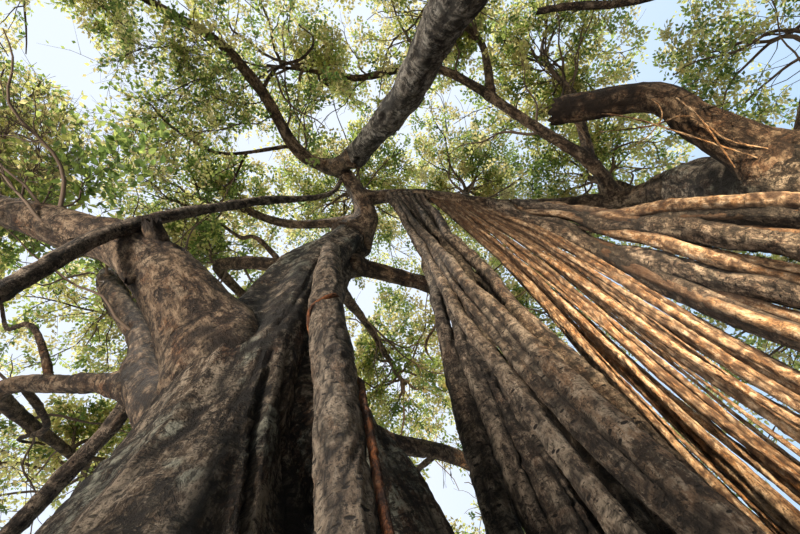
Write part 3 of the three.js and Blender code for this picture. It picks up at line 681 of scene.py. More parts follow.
def add_tube(shape, limb, kind, seed, fewest=9, stretch=1.25, grounded=False, twist=0.0, oval=0.0,
             hosts=(), guests=(), beside=(), tint=(0.0, 0.0), ragged=0.0):
    """A limb's skin, ring by ring, with its bark's relief and closed ends.
    It swells where it leaves its hosts and where its guests leave it, and it has painted shade where
    it touches the limbs beside it. A ragged end is broken off and hollow."""
    places = ring_places(limb, stretch)
    rings, sides = len(places), sides_for(limb, fewest)
    angle = np.arange(sides) * 2 * math.pi / sides
    cos, sin = np.cos(angle)[None, :], np.sin(angle)[None, :]
    centre, along = limb.at(places), limb.along(places)
    side, across = ring_axes(along)
    run = np.concatenate([[0], np.cumsum(np.linalg.norm(np.diff(centre, axis=0), axis=1))])

    def on_rings(reach):
        points = centre[:, None] + side[:, None] * (cos * reach)[..., None]
        return points + across[:, None] * (sin * reach)[..., None]

    radius = limb.radius(places, angle)
    radius = radius * (1 + oval * np.cos(2 * (angle[None, :] - run[:, None] * twist)))
    local = np.stack([radius * cos, radius * sin, np.broadcast_to(run[:, None], radius.shape)], -1)
    height, tone = relief_of(local, radius, run[-1], kind, seed)
    plain = on_rings(radius)
    if limb is limbs["trunk"]:
        deep, tone[..., 0] = folded(centre[:, 2], angle, radius, tone[..., 0])
        height = height + deep
        tone[..., 0] = np.clip(tone[..., 0], 0, 1)
    for channel, change in ((0, tint[0]), (2, tint[1])):
        tone[..., channel] = np.clip(tone[..., channel] + change, 0, 1)
    # Painted shade: the skin is darker where it touches the limbs beside it, in the shade tone.
    if len(beside):
        out, _ = outside_of(plain, beside, 64)
        tone[..., 0] = np.maximum(tone[..., 0], 0.95 * smooth(PAINTED_SHADE_REACH, 0, out))
    if len(hosts):
        out, _ = outside_of(plain, hosts)
        thick = limb.plain_radius(places)[:, None]
        height = height + HOST_SWELL * thick * np.exp(-np.maximum(out, 0) / (0.7 * thick))
        radius = radius * (1 - 0.45 * smooth(0, 1, -out / thick))
    if len(guests):
        out, thick = outside_of(plain, guests)
        height = height + GUEST_SWELL * thick * np.exp(-np.maximum(out, 0) / (0.6 * thick))
    if grounded:
        height = height * smooth(0, END_SMOOTH, centre[:, 2])[:, None]
    elif not ragged:
        height = height * smooth(0, 1, np.minimum(run, run[-1] - run) / END_SMOOTH)[:, None]
    points = on_rings(radius + height)
    if grounded:
        points[0, :, 2] = 0
    if ragged:
        torn = 0.5 + 0.5 * noise_along(4 * angle, 61, seed) + 0.35 * noise_along(13 * angle, 62, seed)
        near_end = smooth(2.6 * ragged, 0, run[-1] - run)[:, None, None]
        points = points - along[:, None] * (ragged * torn)[None, :, None] * near_end
        # Painted shade: the bark darkens towards the broken, hollow end.
        tone[..., 0] = np.clip(tone[..., 0] + 0.8 * near_end[..., 0] ** 3, 0, 1)
    hubs = np.stack([points[0].mean(0), points[-1].mean(0) - along[-1] * 2.2 * ragged])
    shape.add(np.concatenate([points.reshape(-1, 3), hubs]), *tube_faces(rings, sides),
              np.concatenate([(local + seed % 97 * 331.0).reshape(-1, 3), local[[0, -1], 0] * 0]),
              np.concatenate([tone.reshape(-1, 4), tone[[0, -1], 0]]))


def row_lines(row):
    """The stations of each root in a row with its kind: the solids' own, then finer ones across them."""
    lines = []
    for i in range(row["count"]):
        share = i / (row["count"] - 1)
        line = []
        for level, (first, last) in enumerate(zip(row["first"], row["last"])):
            place = [mix(a, b, share) for a, b in zip(first, last)]
            top = level == len(row["first"]) - 1
            place[1] += 0 if top else (i % 2) * row["stagger"] * (1.4 if level == 0 else 1)
            place[3] *= row["thick"]
            line.append(tuple(place))
        lines.append((row["kinds"][0], line))
    rng = np.random.default_rng(len(lines) + row["finer"])
    for i in range(row["finer"]):
        share = (i + rng.uniform(0.15, 0.85)) / row["finer"]
        top = rng.uniform(-1, 1) * row["cross"]
        stray = rng.uniform(-1, 1, 2) * row["stray"]
        thin = rng.uniform(0.22, 0.62)
        line = []
        for level, (first, last) in enumerate(zip(row["first"], row["last"])):
            near_top = level / (len(row["first"]) - 1)
            place = [mix(a, b, min(max(share + top * near_top, 0.02), 0.98)) for a, b in zip(first, last)]
            place[0] += stray[0] * (1 - near_top)
            place[1] += (stray[1] + row["stagger"] * rng.uniform(-0.6, 1.4)) * (1 - near_top)
            place[3] *= thin
            line.append(tuple(place))
        lines.append((row["kinds"][1], line))
    return lines


# Foliage

def place_masses():
    draw = seeded(41)
    masses = []
    for ring in RINGS:
        for i, (bough, line) in enumerate(BEARERS[ring["label"]]):
            angle = ring["first"] - 360 / ring["count"] * i + mix(-1, 1, draw()) * SCATTER["angle"]
            reach = ring["reach"] + mix(-1, 1, draw()) * SCATTER["reach"]
            height = ring["height"] + mix(-1, 1, draw()) * SCATTER["height"]
            turn = math.radians(angle)
            centre = (CROWN[0] + reach * math.cos(turn), CROWN[1] + reach * math.sin(turn), height)
            masses.append(dict(label=f"{ring['label']}_{i + 1}", centre=np.array(centre), wide=ring["wide"],
                               tall=ring["tall"], bough=bough, line=line))
    masses.append({**EXTRA, "centre": np.array(EXTRA["centre"], float)})
    for i, mass in enumerate(masses):
        mass["seed"] = 101 + 17 * i
        mass["axes"] = np.array([mass["wide"], mass["wide"], mass["tall"]], float)
    return masses


def bearer_line(mass):
    """The bough's stations, then its tip where it enters the mass, then the hub that the stem ends at."""
    last = np.array(mass["line"][-1][:3], float)
    hub = mass["centre"] - np.array([0, 0, 0.2 * mass["tall"]])
    way = last - hub
    scaled = np.linalg.norm(way / mass["axes"])
    tip = hub + way * min(0.72 / scaled, 0.75)
    thick = min(mass["line"][-1][3] * 0.82, 105)
    return [*mass["line"], (*tip, thick), (*hub, thick * 0.55)]


def in_space(points, mass, grow):
    """Whether points lie in a mass's own space, grown by `grow`, and in the solids' box."""
    ok = (((points - mass["centre"]) / mass["axes"]) ** 2).sum(-1) <= grow ** 2
    for other in masses:
        if other is mass:
            continue
        way = other["centre"] - mass["centre"]
        middle = mass["centre"] + way / 2
        ok &= (points - middle) @ unit(way) < -MARGIN
    low, high = (np.array(corner) / MM for corner in cad_box)
    return ok & (points > low - BOX_SLACK).all(-1) & (points < high + BOX_SLACK).all(-1)


def clear_of_sky_gaps(points):
    """Whether points lie off every lane that the eye sees sky through."""
    ways = unit(points - np.array(EYE))
    ok = np.ones(len(points), bool)
    for way, (_, _, radius) in zip(pixel_ways([gap[:2] for gap in SKY_GAPS]), SKY_GAPS):
        wobble = 1 + 0.45 * noise(points / 900, 31)
        ok &= ways @ way < np.cos(np.arctan(radius * wobble / FOCAL))
    return ok


def limb_tree(limbs):
    """Points along every limb, to keep twigs and leaves off them."""
    samples = []
    for limb in limbs:
        grid = np.linspace(0, 1, 60)
        samples += list(zip(limb.at(grid), limb.plain_radius(grid)))
    tree = KDTree(len(samples))
    for i, (point, _) in enumerate(samples):
        tree.insert(point, i)
    tree.balance()
    return tree, [radius for _, radius in samples]


def off_limbs(points, gap):
    return np.array([room(point) > gap for point in points], bool)


def room(point):
    _, i, away = keep_off[0].find(point)
    return away - keep_off[1][i]


def ball_ways(count, roll):
    i = np.arange(count)
    up = 1 - (2 * i + 1) / count
    flat = np.sqrt(1 - up * up)
    return np.stack([flat * np.cos(GOLDEN * i + roll), flat * np.sin(GOLDEN * i + roll), up], -1)


def along_each(count, each, first, back, rng):
    """The stick that each part is on, and its place along the stick, from `first` to the tip."""
    index = np.repeat(np.arange(count), each)
    share = np.tile(np.linspace(first, 1, each), count) + rng.uniform(-back, 0.0, len(index))
    return index, share


def both_sides(count, stray, rng):
    """Rolls that alternate from one side of a stick to the other."""
    return math.pi * (np.arange(count) % 2) + rng.uniform(-stray, stray, count)


def lean_off(ways, spread, roll):
    """Ways that lean off others by `spread`, at the given rolls about them."""
    side = unit(np.cross(np.array([0, 0, 1.0]), ways))
    up = np.cross(ways, side)
    lean = side * np.cos(roll)[:, None] + up * np.sin(roll)[:, None]
    return unit(ways + lean * spread[:, None])


def room_ahead(points, ways, mass):
    p = (points - mass["centre"]) / (mass["axes"] * OVER)
    d = ways / (mass["axes"] * OVER)
    a, b, c = (d * d).sum(-1), (p * d).sum(-1), (p * p).sum(-1) - 1
    return np.where(c >= 0, 0, (-b + np.sqrt(np.maximum(b * b - a * c, 0))) / a)


def kept_length(starts, ways, lengths, mass):
    """The longest part of each twig that stays in its mass's space."""
    kept = np.zeros(len(starts))
    open_ = np.ones(len(starts), bool)
    for share in np.linspace(0.2, 1, 9):
        open_ &= in_space(starts + ways * (lengths * share)[:, None], mass, OVER)
        kept = np.where(open_, share, kept)
    return lengths * kept


class Sticks:
    """Crooked twigs that leave along `lead` and turn to `ways`, with radii at start and end."""

    def __init__(self, starts, ways, lengths, radii, sag, rng, lead=None):
        self.starts = starts
        lead = ways if lead is None else lead
        far = lengths[:, None]
        bend = unit(np.cross(ways, rng.normal(size=ways.shape))) * far * rng.uniform(0.04, 0.16, far.shape)
        self.handles = starts + (lead * 0.28 + ways * 0.24) * far + bend
        self.ends = starts + ways * far
        self.ends[:, 2] += lengths * sag
        self.radii = radii
        self.sways = []
        for waves, least, most in STICK_SWAYS:
            side = unit(np.cross(ways, rng.normal(size=ways.shape)))
            self.sways.append((2 * math.pi * waves, side * far * rng.uniform(least, most, far.shape)))

    def spots(self, index, t):
        """Places along the sticks, and the ways that they run there."""
        t = t[:, None]
        a, b, c = self.starts[index], self.handles[index], self.ends[index]
        place = a * (1 - t) ** 2 + b * 2 * t * (1 - t) + c * t * t
        way = 2 * (b - a) * (1 - t) + 2 * (c - b) * t
        for speed, side in self.sways:
            place = place + side[index] * np.sin(speed * t)
            way = way + side[index] * speed * np.cos(speed * t)
        return place, unit(way)

    def add_to(self, shape, sides, steps):
        count = len(self.starts)
        index = np.repeat(np.arange(count), steps + 1)
        t = np.tile(np.linspace(0, 1, steps + 1), count)
        centre, way = self.spots(index, t)
        side = unit(np.cross(way, np.array([0.3, 0.2, 1.0])))
        up = np.cross(way, side)
        thick = mix(self.radii[0][index], self.radii[1][index], t)
        angle = np.arange(sides) * 2 * math.pi / sides
        out = side[:, None] * np.cos(angle)[:, None] + up[:, None] * np.sin(angle)[:, None]
        shape.add(centre[:, None] + out * thick[:, None, None], tube_quads(steps + 1, sides, count))


def grow_mass(mass, wood, twigs, stalks, leaves):
    """Branches from the stem, twigs off each, sprays off each twig and leaves along each spray."""
    rng = np.random.default_rng(mass["seed"])
    size = mass["wide"] / RINGS[0]["wide"]
    count = round(BRANCHES * mix(0.45, 1, size ** 2))
    ways = unit(ball_ways(count, rng.random() * 2 * math.pi) * mass["axes"])
    share = 0.05 + 0.9 * (np.arange(count) + rng.uniform(0, 1, count)) / count
    starts = mass["stem"].at(share)
    lengths = kept_length(starts, ways, room_ahead(starts, ways, mass) * 0.9, mass)
    keep = lengths > SHORTEST_BRANCH
    starts, ways, lengths, share = starts[keep], ways[keep], lengths[keep], share[keep]
    thick = rng.uniform(*BRANCH_THICK, len(starts)) * np.sqrt(size)
    lead = unit(mass["stem"].along(share) + 0.5 * ways)
    branches = Sticks(starts, ways, lengths, (thick, thick * 0.25), 0.02, rng, lead)
    branches.add_to(wood, 6, 12)

    index, share = along_each(len(starts), TWIGS, 0.16, 0.06, rng)
    last = np.tile(np.arange(TWIGS) == TWIGS - 1, len(starts))
    spread = np.where(last, 0.15, rng.uniform(0.6, 2.2, len(index)))
    roll = both_sides(len(index), 1.1, rng)
    side_twigs = grow_twigs(mass, branches, index, share, spread, roll, lengths, twigs, rng)
    leaves.append(grow_sprays(mass, side_twigs, stalks, rng))


def grow_twigs(mass, branches, index, share, spread, roll, lengths, twigs, rng):
    at, along = branches.spots(index, share)
    out = lean_off(along, spread, roll)
    longest = lengths[index] * rng.uniform(*TWIG_LONG, len(index))
    reach = kept_length(at, out, np.minimum(room_ahead(at, out, mass) * 0.95, longest), mass)
    tips = at + out * reach[:, None]
    keep = (reach > SHORTEST_TWIG) & off_limbs(tips, 60) & clear_of_sky_gaps(tips)
    at, out, reach, along = at[keep], out[keep], reach[keep], along[keep]
    thick = rng.uniform(*TWIG_THICK, len(at))
    side_twigs = Sticks(at, out, reach, (thick, thick * 0.3), -0.03, rng, unit(along + 0.6 * out))
    side_twigs.add_to(twigs, 3, 7)
    return side_twigs


def grow_sprays(mass, side_twigs, stalks, rng):
    """Short leafy sprays along twigs, and the places of their leaves."""
    index, share = along_each(len(side_twigs.starts), SPRAYS, 0.15, 0.07, rng)
    spot, along = side_twigs.spots(index, share)
    spread = np.where(share > 0.9, 0.3, rng.uniform(0.6, 2.6, len(index)))
    roll = both_sides(len(index), 1.3, rng)
    out = lean_off(along, spread, roll)
    reach = rng.uniform(*SPRAY_LONG, len(index))
    tip = spot + out * (reach + 70)[:, None]
    keep = clear_of_sky_gaps(tip) & off_limbs(tip, 150)
    if mass is not None:
        keep &= in_space(tip, mass, 1.6)
    spot, out, reach, along = spot[keep], out[keep], reach[keep], along[keep]
    thick = rng.uniform(*SPRAY_THICK, len(spot))
    sprays = Sticks(spot, out, reach, (thick, thick * 0.4), -0.08, rng, along)
    sprays.add_to(stalks, 3, 1)
    return leaf_places(sprays, rng)


def grow_side_limbs(wood, twigs):
    """Long crooked side limbs along each bough that ends in foliage, with a few twigs of their own."""
    rng = np.random.default_rng(88)
    for mass in masses:
        bough = limbs[mass["bough"]]
        place = rng.uniform(0.30, 0.80, SIDE_LIMBS)
        starts = bough.at(place)
        along = unit(bough.at(place + 0.02) - starts)
        ways = lean_off(along, rng.uniform(0.6, 1.7, SIDE_LIMBS), rng.uniform(0, 2 * math.pi, SIDE_LIMBS))
        ways[:, 2] = 0.35 * ways[:, 2] + 0.12
        ways = unit(ways)
        lengths = rng.uniform(*SIDE_LONG, SIDE_LIMBS)
        thick = rng.uniform(*SIDE_THICK, SIDE_LIMBS)
        sticks = Sticks(starts, ways, lengths, (thick, thick * 0.25), 0.0, rng, unit(along + ways))
        sticks.add_to(wood, 6, 14)
        index = np.repeat(np.arange(SIDE_LIMBS), SIDE_TWIGS)
        count = len(index)
        share = rng.uniform(0.2, 0.95, count)
        at, along = sticks.spots(index, share)
        out = lean_off(along, rng.uniform(0.5, 1.4, count), rng.uniform(0, 2 * math.pi, count))
        thin = thick[index] * mix(0.55, 0.2, share)
        reach = lengths[index] * rng.uniform(0.2, 0.45, count)
        Sticks(at, out, reach, (thin, thin * 0.3), 0.0, rng, along).add_to(twigs, 4, 7)


def grow_sprouts(twigs, stalks, leaves):
    """Leafy shoots that stand on the boughs themselves."""
    rng = np.random.default_rng(77)
    for name, place, offset, thick, full, big in SPROUTS:
        near_eye = big > 1
        start = limbs[name].at(np.array([place]))
        offset = np.array([offset], float)
        reach = np.linalg.norm(offset, axis=1)
        stems = Sticks(start, unit(offset), reach, (np.array([thick]), np.array([thick * 0.4])), 0.0, rng)
        stems.add_to(twigs, 6, 10)
        count = 9 if near_eye else 22
        index = np.zeros(count, int)
        share = np.linspace(0.25, 1, count)
        at, along = stems.spots(index, share)
        roll = both_sides(count, 1.2, rng)
        out = lean_off(along, rng.uniform(0.4, 1.6, count), roll)
        lengths = np.minimum(reach * rng.uniform(0.25, 0.6, count), rng.uniform(400, 1000, count))
        side_twigs = Sticks(at, out, lengths, (np.full(count, 6.0), np.full(count, 2.5)), 0, rng, along)
        side_twigs.add_to(twigs, 4, 6)
        grown = grow_sprays(None, side_twigs, stalks, rng)
        grown["tone"] = grown["tone"] * (0.45 if near_eye else 1)
        grown["long"] = grown["long"] * big
        keep = rng.random(len(grown["tone"])) < full
        leaves.append({key: value[keep] for key, value in grown.items()})


def leaf_places(sprays, rng):
    """Where each leaf of the sprays starts, its way and the way it faces, and its spray's tone."""
    count = len(sprays.starts)
    index, share = along_each(count, LEAVES, 0.12, 0.06, rng)
    at, along = sprays.spots(index, share)
    spread = np.where(share > 0.93, 0.35, rng.uniform(0.8, 2.6, len(index)))
    roll = both_sides(len(index), 1.1, rng)
    out = unit(lean_off(along, spread, roll) + np.array([0, 0, -LEAF_DROOP]))
    face = unit(np.array([0, 0, 1.0]) + rng.normal(0, 0.5, out.shape))
    tone = np.repeat(rng.random(count) + 0.22 * noise(sprays.starts / 1200, 21), LEAVES)
    stalk = out * rng.uniform(*STALK_LONG, len(index))[:, None]
    return dict(at=at + stalk, out=out, face=face, tone=tone, long=rng.uniform(*LEAF_LONG, len(index)))


# A leaf's own outline, as shares of its length along it, of its width across it, and its rise.
FINE_LEAF = [(0.0, 0.0, 0.0), (0.26, 0.48, 0.08), (0.66, 0.42, 0.05), (1.0, 0.0, -0.12),
             (0.66, -0.42, 0.05), (0.26, -0.48, 0.08)]
FINE_FACES = [(0, 2, 1), (0, 3, 2), (0, 4, 3), (0, 5, 4)]
FAR_LEAF = [(0.0, 0.0, 0.0), (0.42, 0.52, 0.09), (1.0, 0.0, -0.06), (0.42, -0.52, 0.09)]
FAR_FACES = [(0, 2, 1), (0, 3, 2)]


def leaf_shapes(places, outline, faces):
    """Leaves folded along their midribs, with their tips bent down."""
    out = places["out"][:, None]
    side = unit(np.cross(places["face"], places["out"]))[:, None]
    up = np.cross(out, side)
    along, across, rise = (np.array(values)[:, None] for values in zip(*outline))
    long = places["long"][:, None, None]
    points = places["at"][:, None] + long * (out * along + side * across * LEAF_WIDE + up * rise)
    tris = np.arange(len(long))[:, None, None] * len(outline) + np.array(faces)[None]
    return points, tris


# Materials

class Shader:
    """A short way to write the nodes of a material or of the sky."""

    def __init__(self, owner):
        owner.use_nodes = True
        self.owner = owner
        self.tree = owner.node_tree
        self.tree.nodes.clear()

    def node(self, kind, inputs=(), **settings):
        made = self.tree.nodes.new(kind)
        for key, value in settings.items():
            setattr(made, key, value)
        for key, value in dict(inputs).items():
            if isinstance(value, bpy.types.NodeSocket):
                self.tree.links.new(value, made.inputs[key])
            else:
                made.inputs[key].default_value = value
        return made

    def noise(self, vector, stretch, scale, detail, rough=0.6):
        moved = self.node("ShaderNodeMapping", {"Vector": vector, "Scale": stretch}).outputs["Vector"]
        return self.node("ShaderNodeTexNoise", {"Vector": moved, "Scale": scale, "Detail": detail,
                                                "Roughness": rough}).outputs["Fac"]

    def ramp(self, value, low, high, to=(0.0, 1.0), kind="SMOOTHSTEP"):
        inputs = {"Value": value, "From Min": low, "From Max": high, "To Min": to[0], "To Max": to[1]}
        return self.node("ShaderNodeMapRange", inputs, interpolation_type=kind).outputs["Result"]

    def pores(self, vector, stretch, scale, rare):
        """Dark spots, one in some of the cells of a grid that strays."""
        moved = self.node("ShaderNodeMapping", {"Vector": vector, "Scale": stretch}).outputs["Vector"]
        made = self.node("ShaderNodeTexVoronoi", {"Vector": moved, "Scale": scale})
        parts = self.node("ShaderNodeSeparateColor", {"Color": made.outputs["Color"]})
        size = self.ramp(parts.outputs["Red"], rare, 1.0, (0.0, 0.42))
        return self.ramp(self.math("SUBTRACT", size, made.outputs["Distance"]), 0.0, 0.10)

    def line(self, value, wide):
        """1 where a value crosses a half, and 0 away from there."""
        away = self.math("ABSOLUTE", self.math("SUBTRACT", value, 0.5), 0.0)
        return self.ramp(away, 0.0, wide, (1.0, 0.0))

    def math(self, operation, a, b, c=0.0, clamp=False):
        made = self.node("ShaderNodeMath", {0: a, 1: b, 2: c}, operation=operation, use_clamp=clamp)
        return made.outputs[0]

    def times(self, a, b):
        return self.math("MULTIPLY", a, b, clamp=True)

    def add(self, a, share, b):
        """`share` of a, added to b."""
        return self.math("MULTIPLY_ADD", a, share, b)

    def blend(self, share, a, b):
        made = self.node("ShaderNodeMix", data_type="RGBA")
        for socket, value in ((made.inputs[0], share), (made.inputs[6], a), (made.inputs[7], b)):
            if isinstance(value, bpy.types.NodeSocket):
                self.tree.links.new(value, socket)
            else:
                socket.default_value = (*value, 1) if isinstance(value, tuple) else value
        return made.outputs[2]

    def principled(self, color, roughness, more=()):
        inputs = {"Base Color": color, "Roughness": roughness, **dict(more)}
        return self.node("ShaderNodeBsdfPrincipled", inputs).outputs["BSDF"]

    def finish(self, shader, kind="ShaderNodeOutputMaterial"):
        self.tree.links.new(shader, self.node(kind).inputs["Surface"])
        return self.owner


def bark_material(name, base, second, dark, pale, warm, speck, depth=0.9, cracks=0.9, spots=0.8, bands=0.8,
                  patches=0.8, scale=1.0):
    """Bark: blotched browns, lichen and warm patches by place, curved dark bands, cracks and pores."""
    s = Shader(bpy.data.materials.new(name))
    bark = s.node("ShaderNodeAttribute", attribute_name="bark").outputs["Vector"]
    bark = s.node("ShaderNodeMapping", {"Vector": bark, "Scale": (scale, scale, scale)}).outputs["Vector"]
    tone = s.node("ShaderNodeAttribute", attribute_name="tone").outputs["Color"]
    parts = s.node("ShaderNodeSeparateColor", {"Color": tone})
    shade, lichen, warmth = (parts.outputs[k] for k in ("Red", "Green", "Blue"))
    cloud = s.noise(bark, (1, 1, 0.55), 3.2, 5)
    patch = s.noise(bark, (1.2, 1.2, 0.40), 5.5, 10, 0.70)
    sag = s.node("ShaderNodeCombineXYZ", {"Z": s.math("MULTIPLY", cloud, 0.35)}).outputs["Vector"]
    bent = s.node("ShaderNodeVectorMath", {0: bark, 1: sag}, operation="ADD").outputs["Vector"]
    mottle = s.noise(bark, (1.2, 1.2, 0.50), 16.0, 9, 0.72)
    blotch = s.noise(bent, (1, 1, 0.7), 8.0, 6, 0.62)
    grain = s.noise(bark, (1, 1, 0.55), 80.0, 6, 0.72)
    field = s.noise(bent, (1, 1, 2.3), 6.0, 4, 0.62)
    fine_field = s.noise(bent, (1, 1, 2.6), 15.0, 3)
    crack = s.times(s.line(field, 0.060), s.ramp(blotch, 0.38, 0.54))
    fine_crack = s.times(s.line(fine_field, 0.075), s.ramp(mottle, 0.56, 0.44))
    band = s.times(s.ramp(field, 0.52, 0.62), s.ramp(blotch, 0.46, 0.58))
    cell, small = s.pores(bark, (1, 1, 2.0), 19.0, 0.62), s.pores(bark, (1, 1, 2.4), 46.0, 0.36)
    color = base
    for share, over in (
            (s.ramp(cloud, 0.40, 0.60), second),
            (s.times(warmth, s.ramp(blotch, 0.40, 0.56)), warm),
            (s.ramp(mottle, 0.52, 0.57, (0.0, 0.90)), speck),
            (s.times(s.ramp(patch, 0.52, 0.58), patches), speck),
            (s.times(lichen, s.ramp(mottle, 0.44, 0.53)), pale),
            (s.times(band, bands), dark),
            (s.ramp(mottle, 0.41, 0.455, (0.85, 0.0)), dark),
            (s.times(s.ramp(patch, 0.44, 0.40), patches), dark),
            (s.ramp(grain, 0.40, 0.46, (0.60, 0.0)), dark),
            (s.ramp(grain, 0.56, 0.62, (0.0, 0.50)), speck),
            (s.times(crack, cracks), dark),
            (s.times(fine_crack, 0.45 * cracks), dark),
            (s.times(cell, spots), dark),
            (s.times(small, 0.85 * spots), dark),
            (s.times(shade, 0.96), dark)):
        color = s.blend(share, color, over)
    relief = s.add(field, 0.8, s.math("MULTIPLY", mottle, 1.9))
    for part, share in ((grain, 0.8), (patch, 1.2), (crack, -0.35), (cell, -0.50)):
        relief = s.add(part, share, relief)
    bump = s.node("ShaderNodeBump", {"Height": relief, "Strength": depth, "Distance": BUMP_DEEP})
    rough = s.ramp(grain, 0.3, 0.7, BARK_ROUGH)
    return s.finish(s.principled(color, rough, {"Normal": bump.outputs["Normal"],
                                                "Specular IOR Level": BARK_GLOSS}))


def leaf_material(name, color, glow):
    """A thin leaf: a smooth green face that glows where the sky is behind it."""
    s = Shader(bpy.data.materials.new(name))
    face = s.principled((*color, 1), LEAF_ROUGH, {"Specular IOR Level": LEAF_GLOSS})
    through = s.node("ShaderNodeBsdfTranslucent", {"Color": (*glow, 1)}).outputs["BSDF"]
    both = s.node("ShaderNodeMixShader", {0: LEAF_GLOW, 1: face, 2: through})
    return s.finish(both.outputs["Shader"])


def plain_material(name, color, roughness):
    s = Shader(bpy.data.materials.new(name))
    return s.finish(s.principled((*color, 1), roughness))


BUMP_DEEP = 0.055  # in metres
BARK_ROUGH, BARK_GLOSS = (0.74, 0.94), 0.28
# Each bark's name, base and second brown, the dark of its cracks, its pale lichen, its warm patches and
# its specks.
BARKS = {
    "trunk": bark_material(
        "trunk_bark", (0.138, 0.096, 0.063), (0.074, 0.048, 0.031), (0.007, 0.0048, 0.0038),
        (0.310, 0.325, 0.265), (0.165, 0.068, 0.030), (0.400, 0.320, 0.238), depth=1.0, scale=0.85),
    "bough": bark_material(
        "bough_bark", (0.165, 0.104, 0.061), (0.092, 0.056, 0.035), (0.012, 0.0072, 0.005),
        (0.275, 0.236, 0.180), (0.255, 0.112, 0.045), (0.330, 0.232, 0.150), spots=0.7, bands=0.6,
        patches=0.6, scale=0.72),
    "pillar": bark_material(
        "pillar_bark", (0.240, 0.212, 0.180), (0.140, 0.118, 0.096), (0.015, 0.012, 0.010),
        (0.400, 0.380, 0.340), (0.190, 0.135, 0.090), (0.340, 0.305, 0.262), cracks=1.0, spots=0.6,
        bands=1.0, scale=0.62),
    "root": bark_material(
        "root_bark", (0.205, 0.152, 0.110), (0.122, 0.086, 0.062), (0.008, 0.0055, 0.0042),
        (0.240, 0.218, 0.172), (0.215, 0.100, 0.050), (0.410, 0.320, 0.236), cracks=0.8, spots=1.0,
        bands=0.55, patches=0.7),
    "pale_root": bark_material(
        "crossing_root_bark", (0.270, 0.198, 0.140), (0.160, 0.110, 0.076), (0.015, 0.011, 0.009),
        (0.300, 0.265, 0.220), (0.330, 0.180, 0.090), (0.400, 0.320, 0.240), cracks=0.6, spots=1.0,
        bands=0.3),
    # The sunlit root bark is a lighter, warmer copy of the root bark: partly the roots' own orange, partly
    # painted sunlight.
    "sunlit_root": bark_material(
        "sunlit_curtain_root_bark", (0.340, 0.215, 0.120), (0.200, 0.100, 0.040), (0.026, 0.012, 0.006),
        (0.480, 0.390, 0.285), (0.430, 0.180, 0.042), (0.460, 0.350, 0.240), depth=0.6, cracks=0.5,
        spots=0.5, bands=0.3, patches=0.35),
    "vine": bark_material(
        "twining_root_bark", (0.430, 0.140, 0.040), (0.270, 0.085, 0.028), (0.026, 0.010, 0.006),
        (0.300, 0.160, 0.085), (0.360, 0.120, 0.034), (0.300, 0.135, 0.065), cracks=0.6, spots=0.4,
        bands=0.5),
}


# The wood, one piece for each solid

def add_skin(node, kind, slot, *tubes):
    shape = Shape()
    for limb, options in tubes:
        add_tube(shape, limb, kind, **options)
    stand_for(shape.build(f"{node}_{kind}_skin", BARKS[kind]), slot, node)


masses = place_masses()
limbs = {"trunk": Limb(TRUNK_LINE, end=FORK, flutes=(0.15, 3.3), flare=True),
         "buttress": Limb(BUTTRESS),
         "leader_bough": Limb(TRUNK_LINE, start=FORK)}
for i, (name, line) in enumerate(LIMBS.items()):
    thick = name == "east_trunk"
    limbs[name] = Limb(line, flutes=(0.13, 1.7) if thick else None, flare=thick, seed=i, vary=0.07,
                       sway=0 if thick else min(0.22 * line[1][3], 32))
for i, mass in enumerate(masses):
    line = bearer_line(mass)
    limbs[mass["bough"]] = Limb(line, seed=20 + i, vary=0.07, sway=min(0.3 * line[1][3], 42))
    mass["stem"] = Limb(line, start=len(line) - 2)

# The limbs that leave each limb
GUESTS = {
    "trunk": "leader_bough west_bough north_bough north_east_bough rear_west_bough rear_north_bough "
             "rear_east_bough west_high_bough front_prop_root",
    "east_trunk": "bridge_bough broken_bough east_bough south_east_bough low_south_bough inner_east_bough",
    "south_pillar": "south_bough south_west_bough",
    "leader_bough": "bridge_bough south_west_bough upper_west_bough top_west_bough west_slanting_root "
                    "south_pillar",
    "bridge_bough": "arching_bough top_west_bough top_east_bough",
    "west_high_bough": "north_west_bough north_west_prop_root",
    "arching_bough": "inner_south_east_bough inner_south_bough",
}
joints = {name: dict(hosts=[limbs[host] for host, guests in GUESTS.items() if name in guests.split()],
                     guests=[limbs[guest] for guest in GUESTS.get(name, "").split()]) for name in limbs}


def add_limb_skin(name, kind, slot, seed, **options):
    add_skin(name, kind, slot, (limbs[name], dict(seed=seed, **options, **joints[name])))


add_camera()
add_skin("trunk", "trunk", "trunk_bark",
         (limbs["trunk"], dict(seed=11, grounded=True, **joints["trunk"])),
         (limbs["buttress"], dict(seed=12, grounded=True, oval=0.1, tint=(0.15, 0.45),
                                  hosts=[limbs["trunk"]])))
add_limb_skin("east_trunk", "trunk", "trunk_bark", 13, grounded=True)
add_limb_skin("south_pillar", "pillar", "root_bark", 14, grounded=True, oval=0.07, twist=0.0004)
for i, name in enumerate(["leader_bough", "bridge_bough", "broken_bough"]):
    broken = dict(ragged=110, tint=(0.12, 0.25)) if name == "broken_bough" else {}
    add_limb_skin(name, "bough", "bough_bark", 21 + i, oval=0.06, twist=0.0006, **broken)
for i, name in enumerate(["front_prop_root", "north_west_prop_root", "west_slanting_root"]):
    kind = "pale_root" if i == 0 else "root"
    add_limb_skin(name, kind, "root_bark", 31 + i, grounded=True, oval=0.08, twist=0.0007)
for i, mass in enumerate(masses):
    add_limb_skin(mass["bough"], "bough", "bough_bark", 41 + i, oval=0.05, twist=0.0005)
row_limbs = []
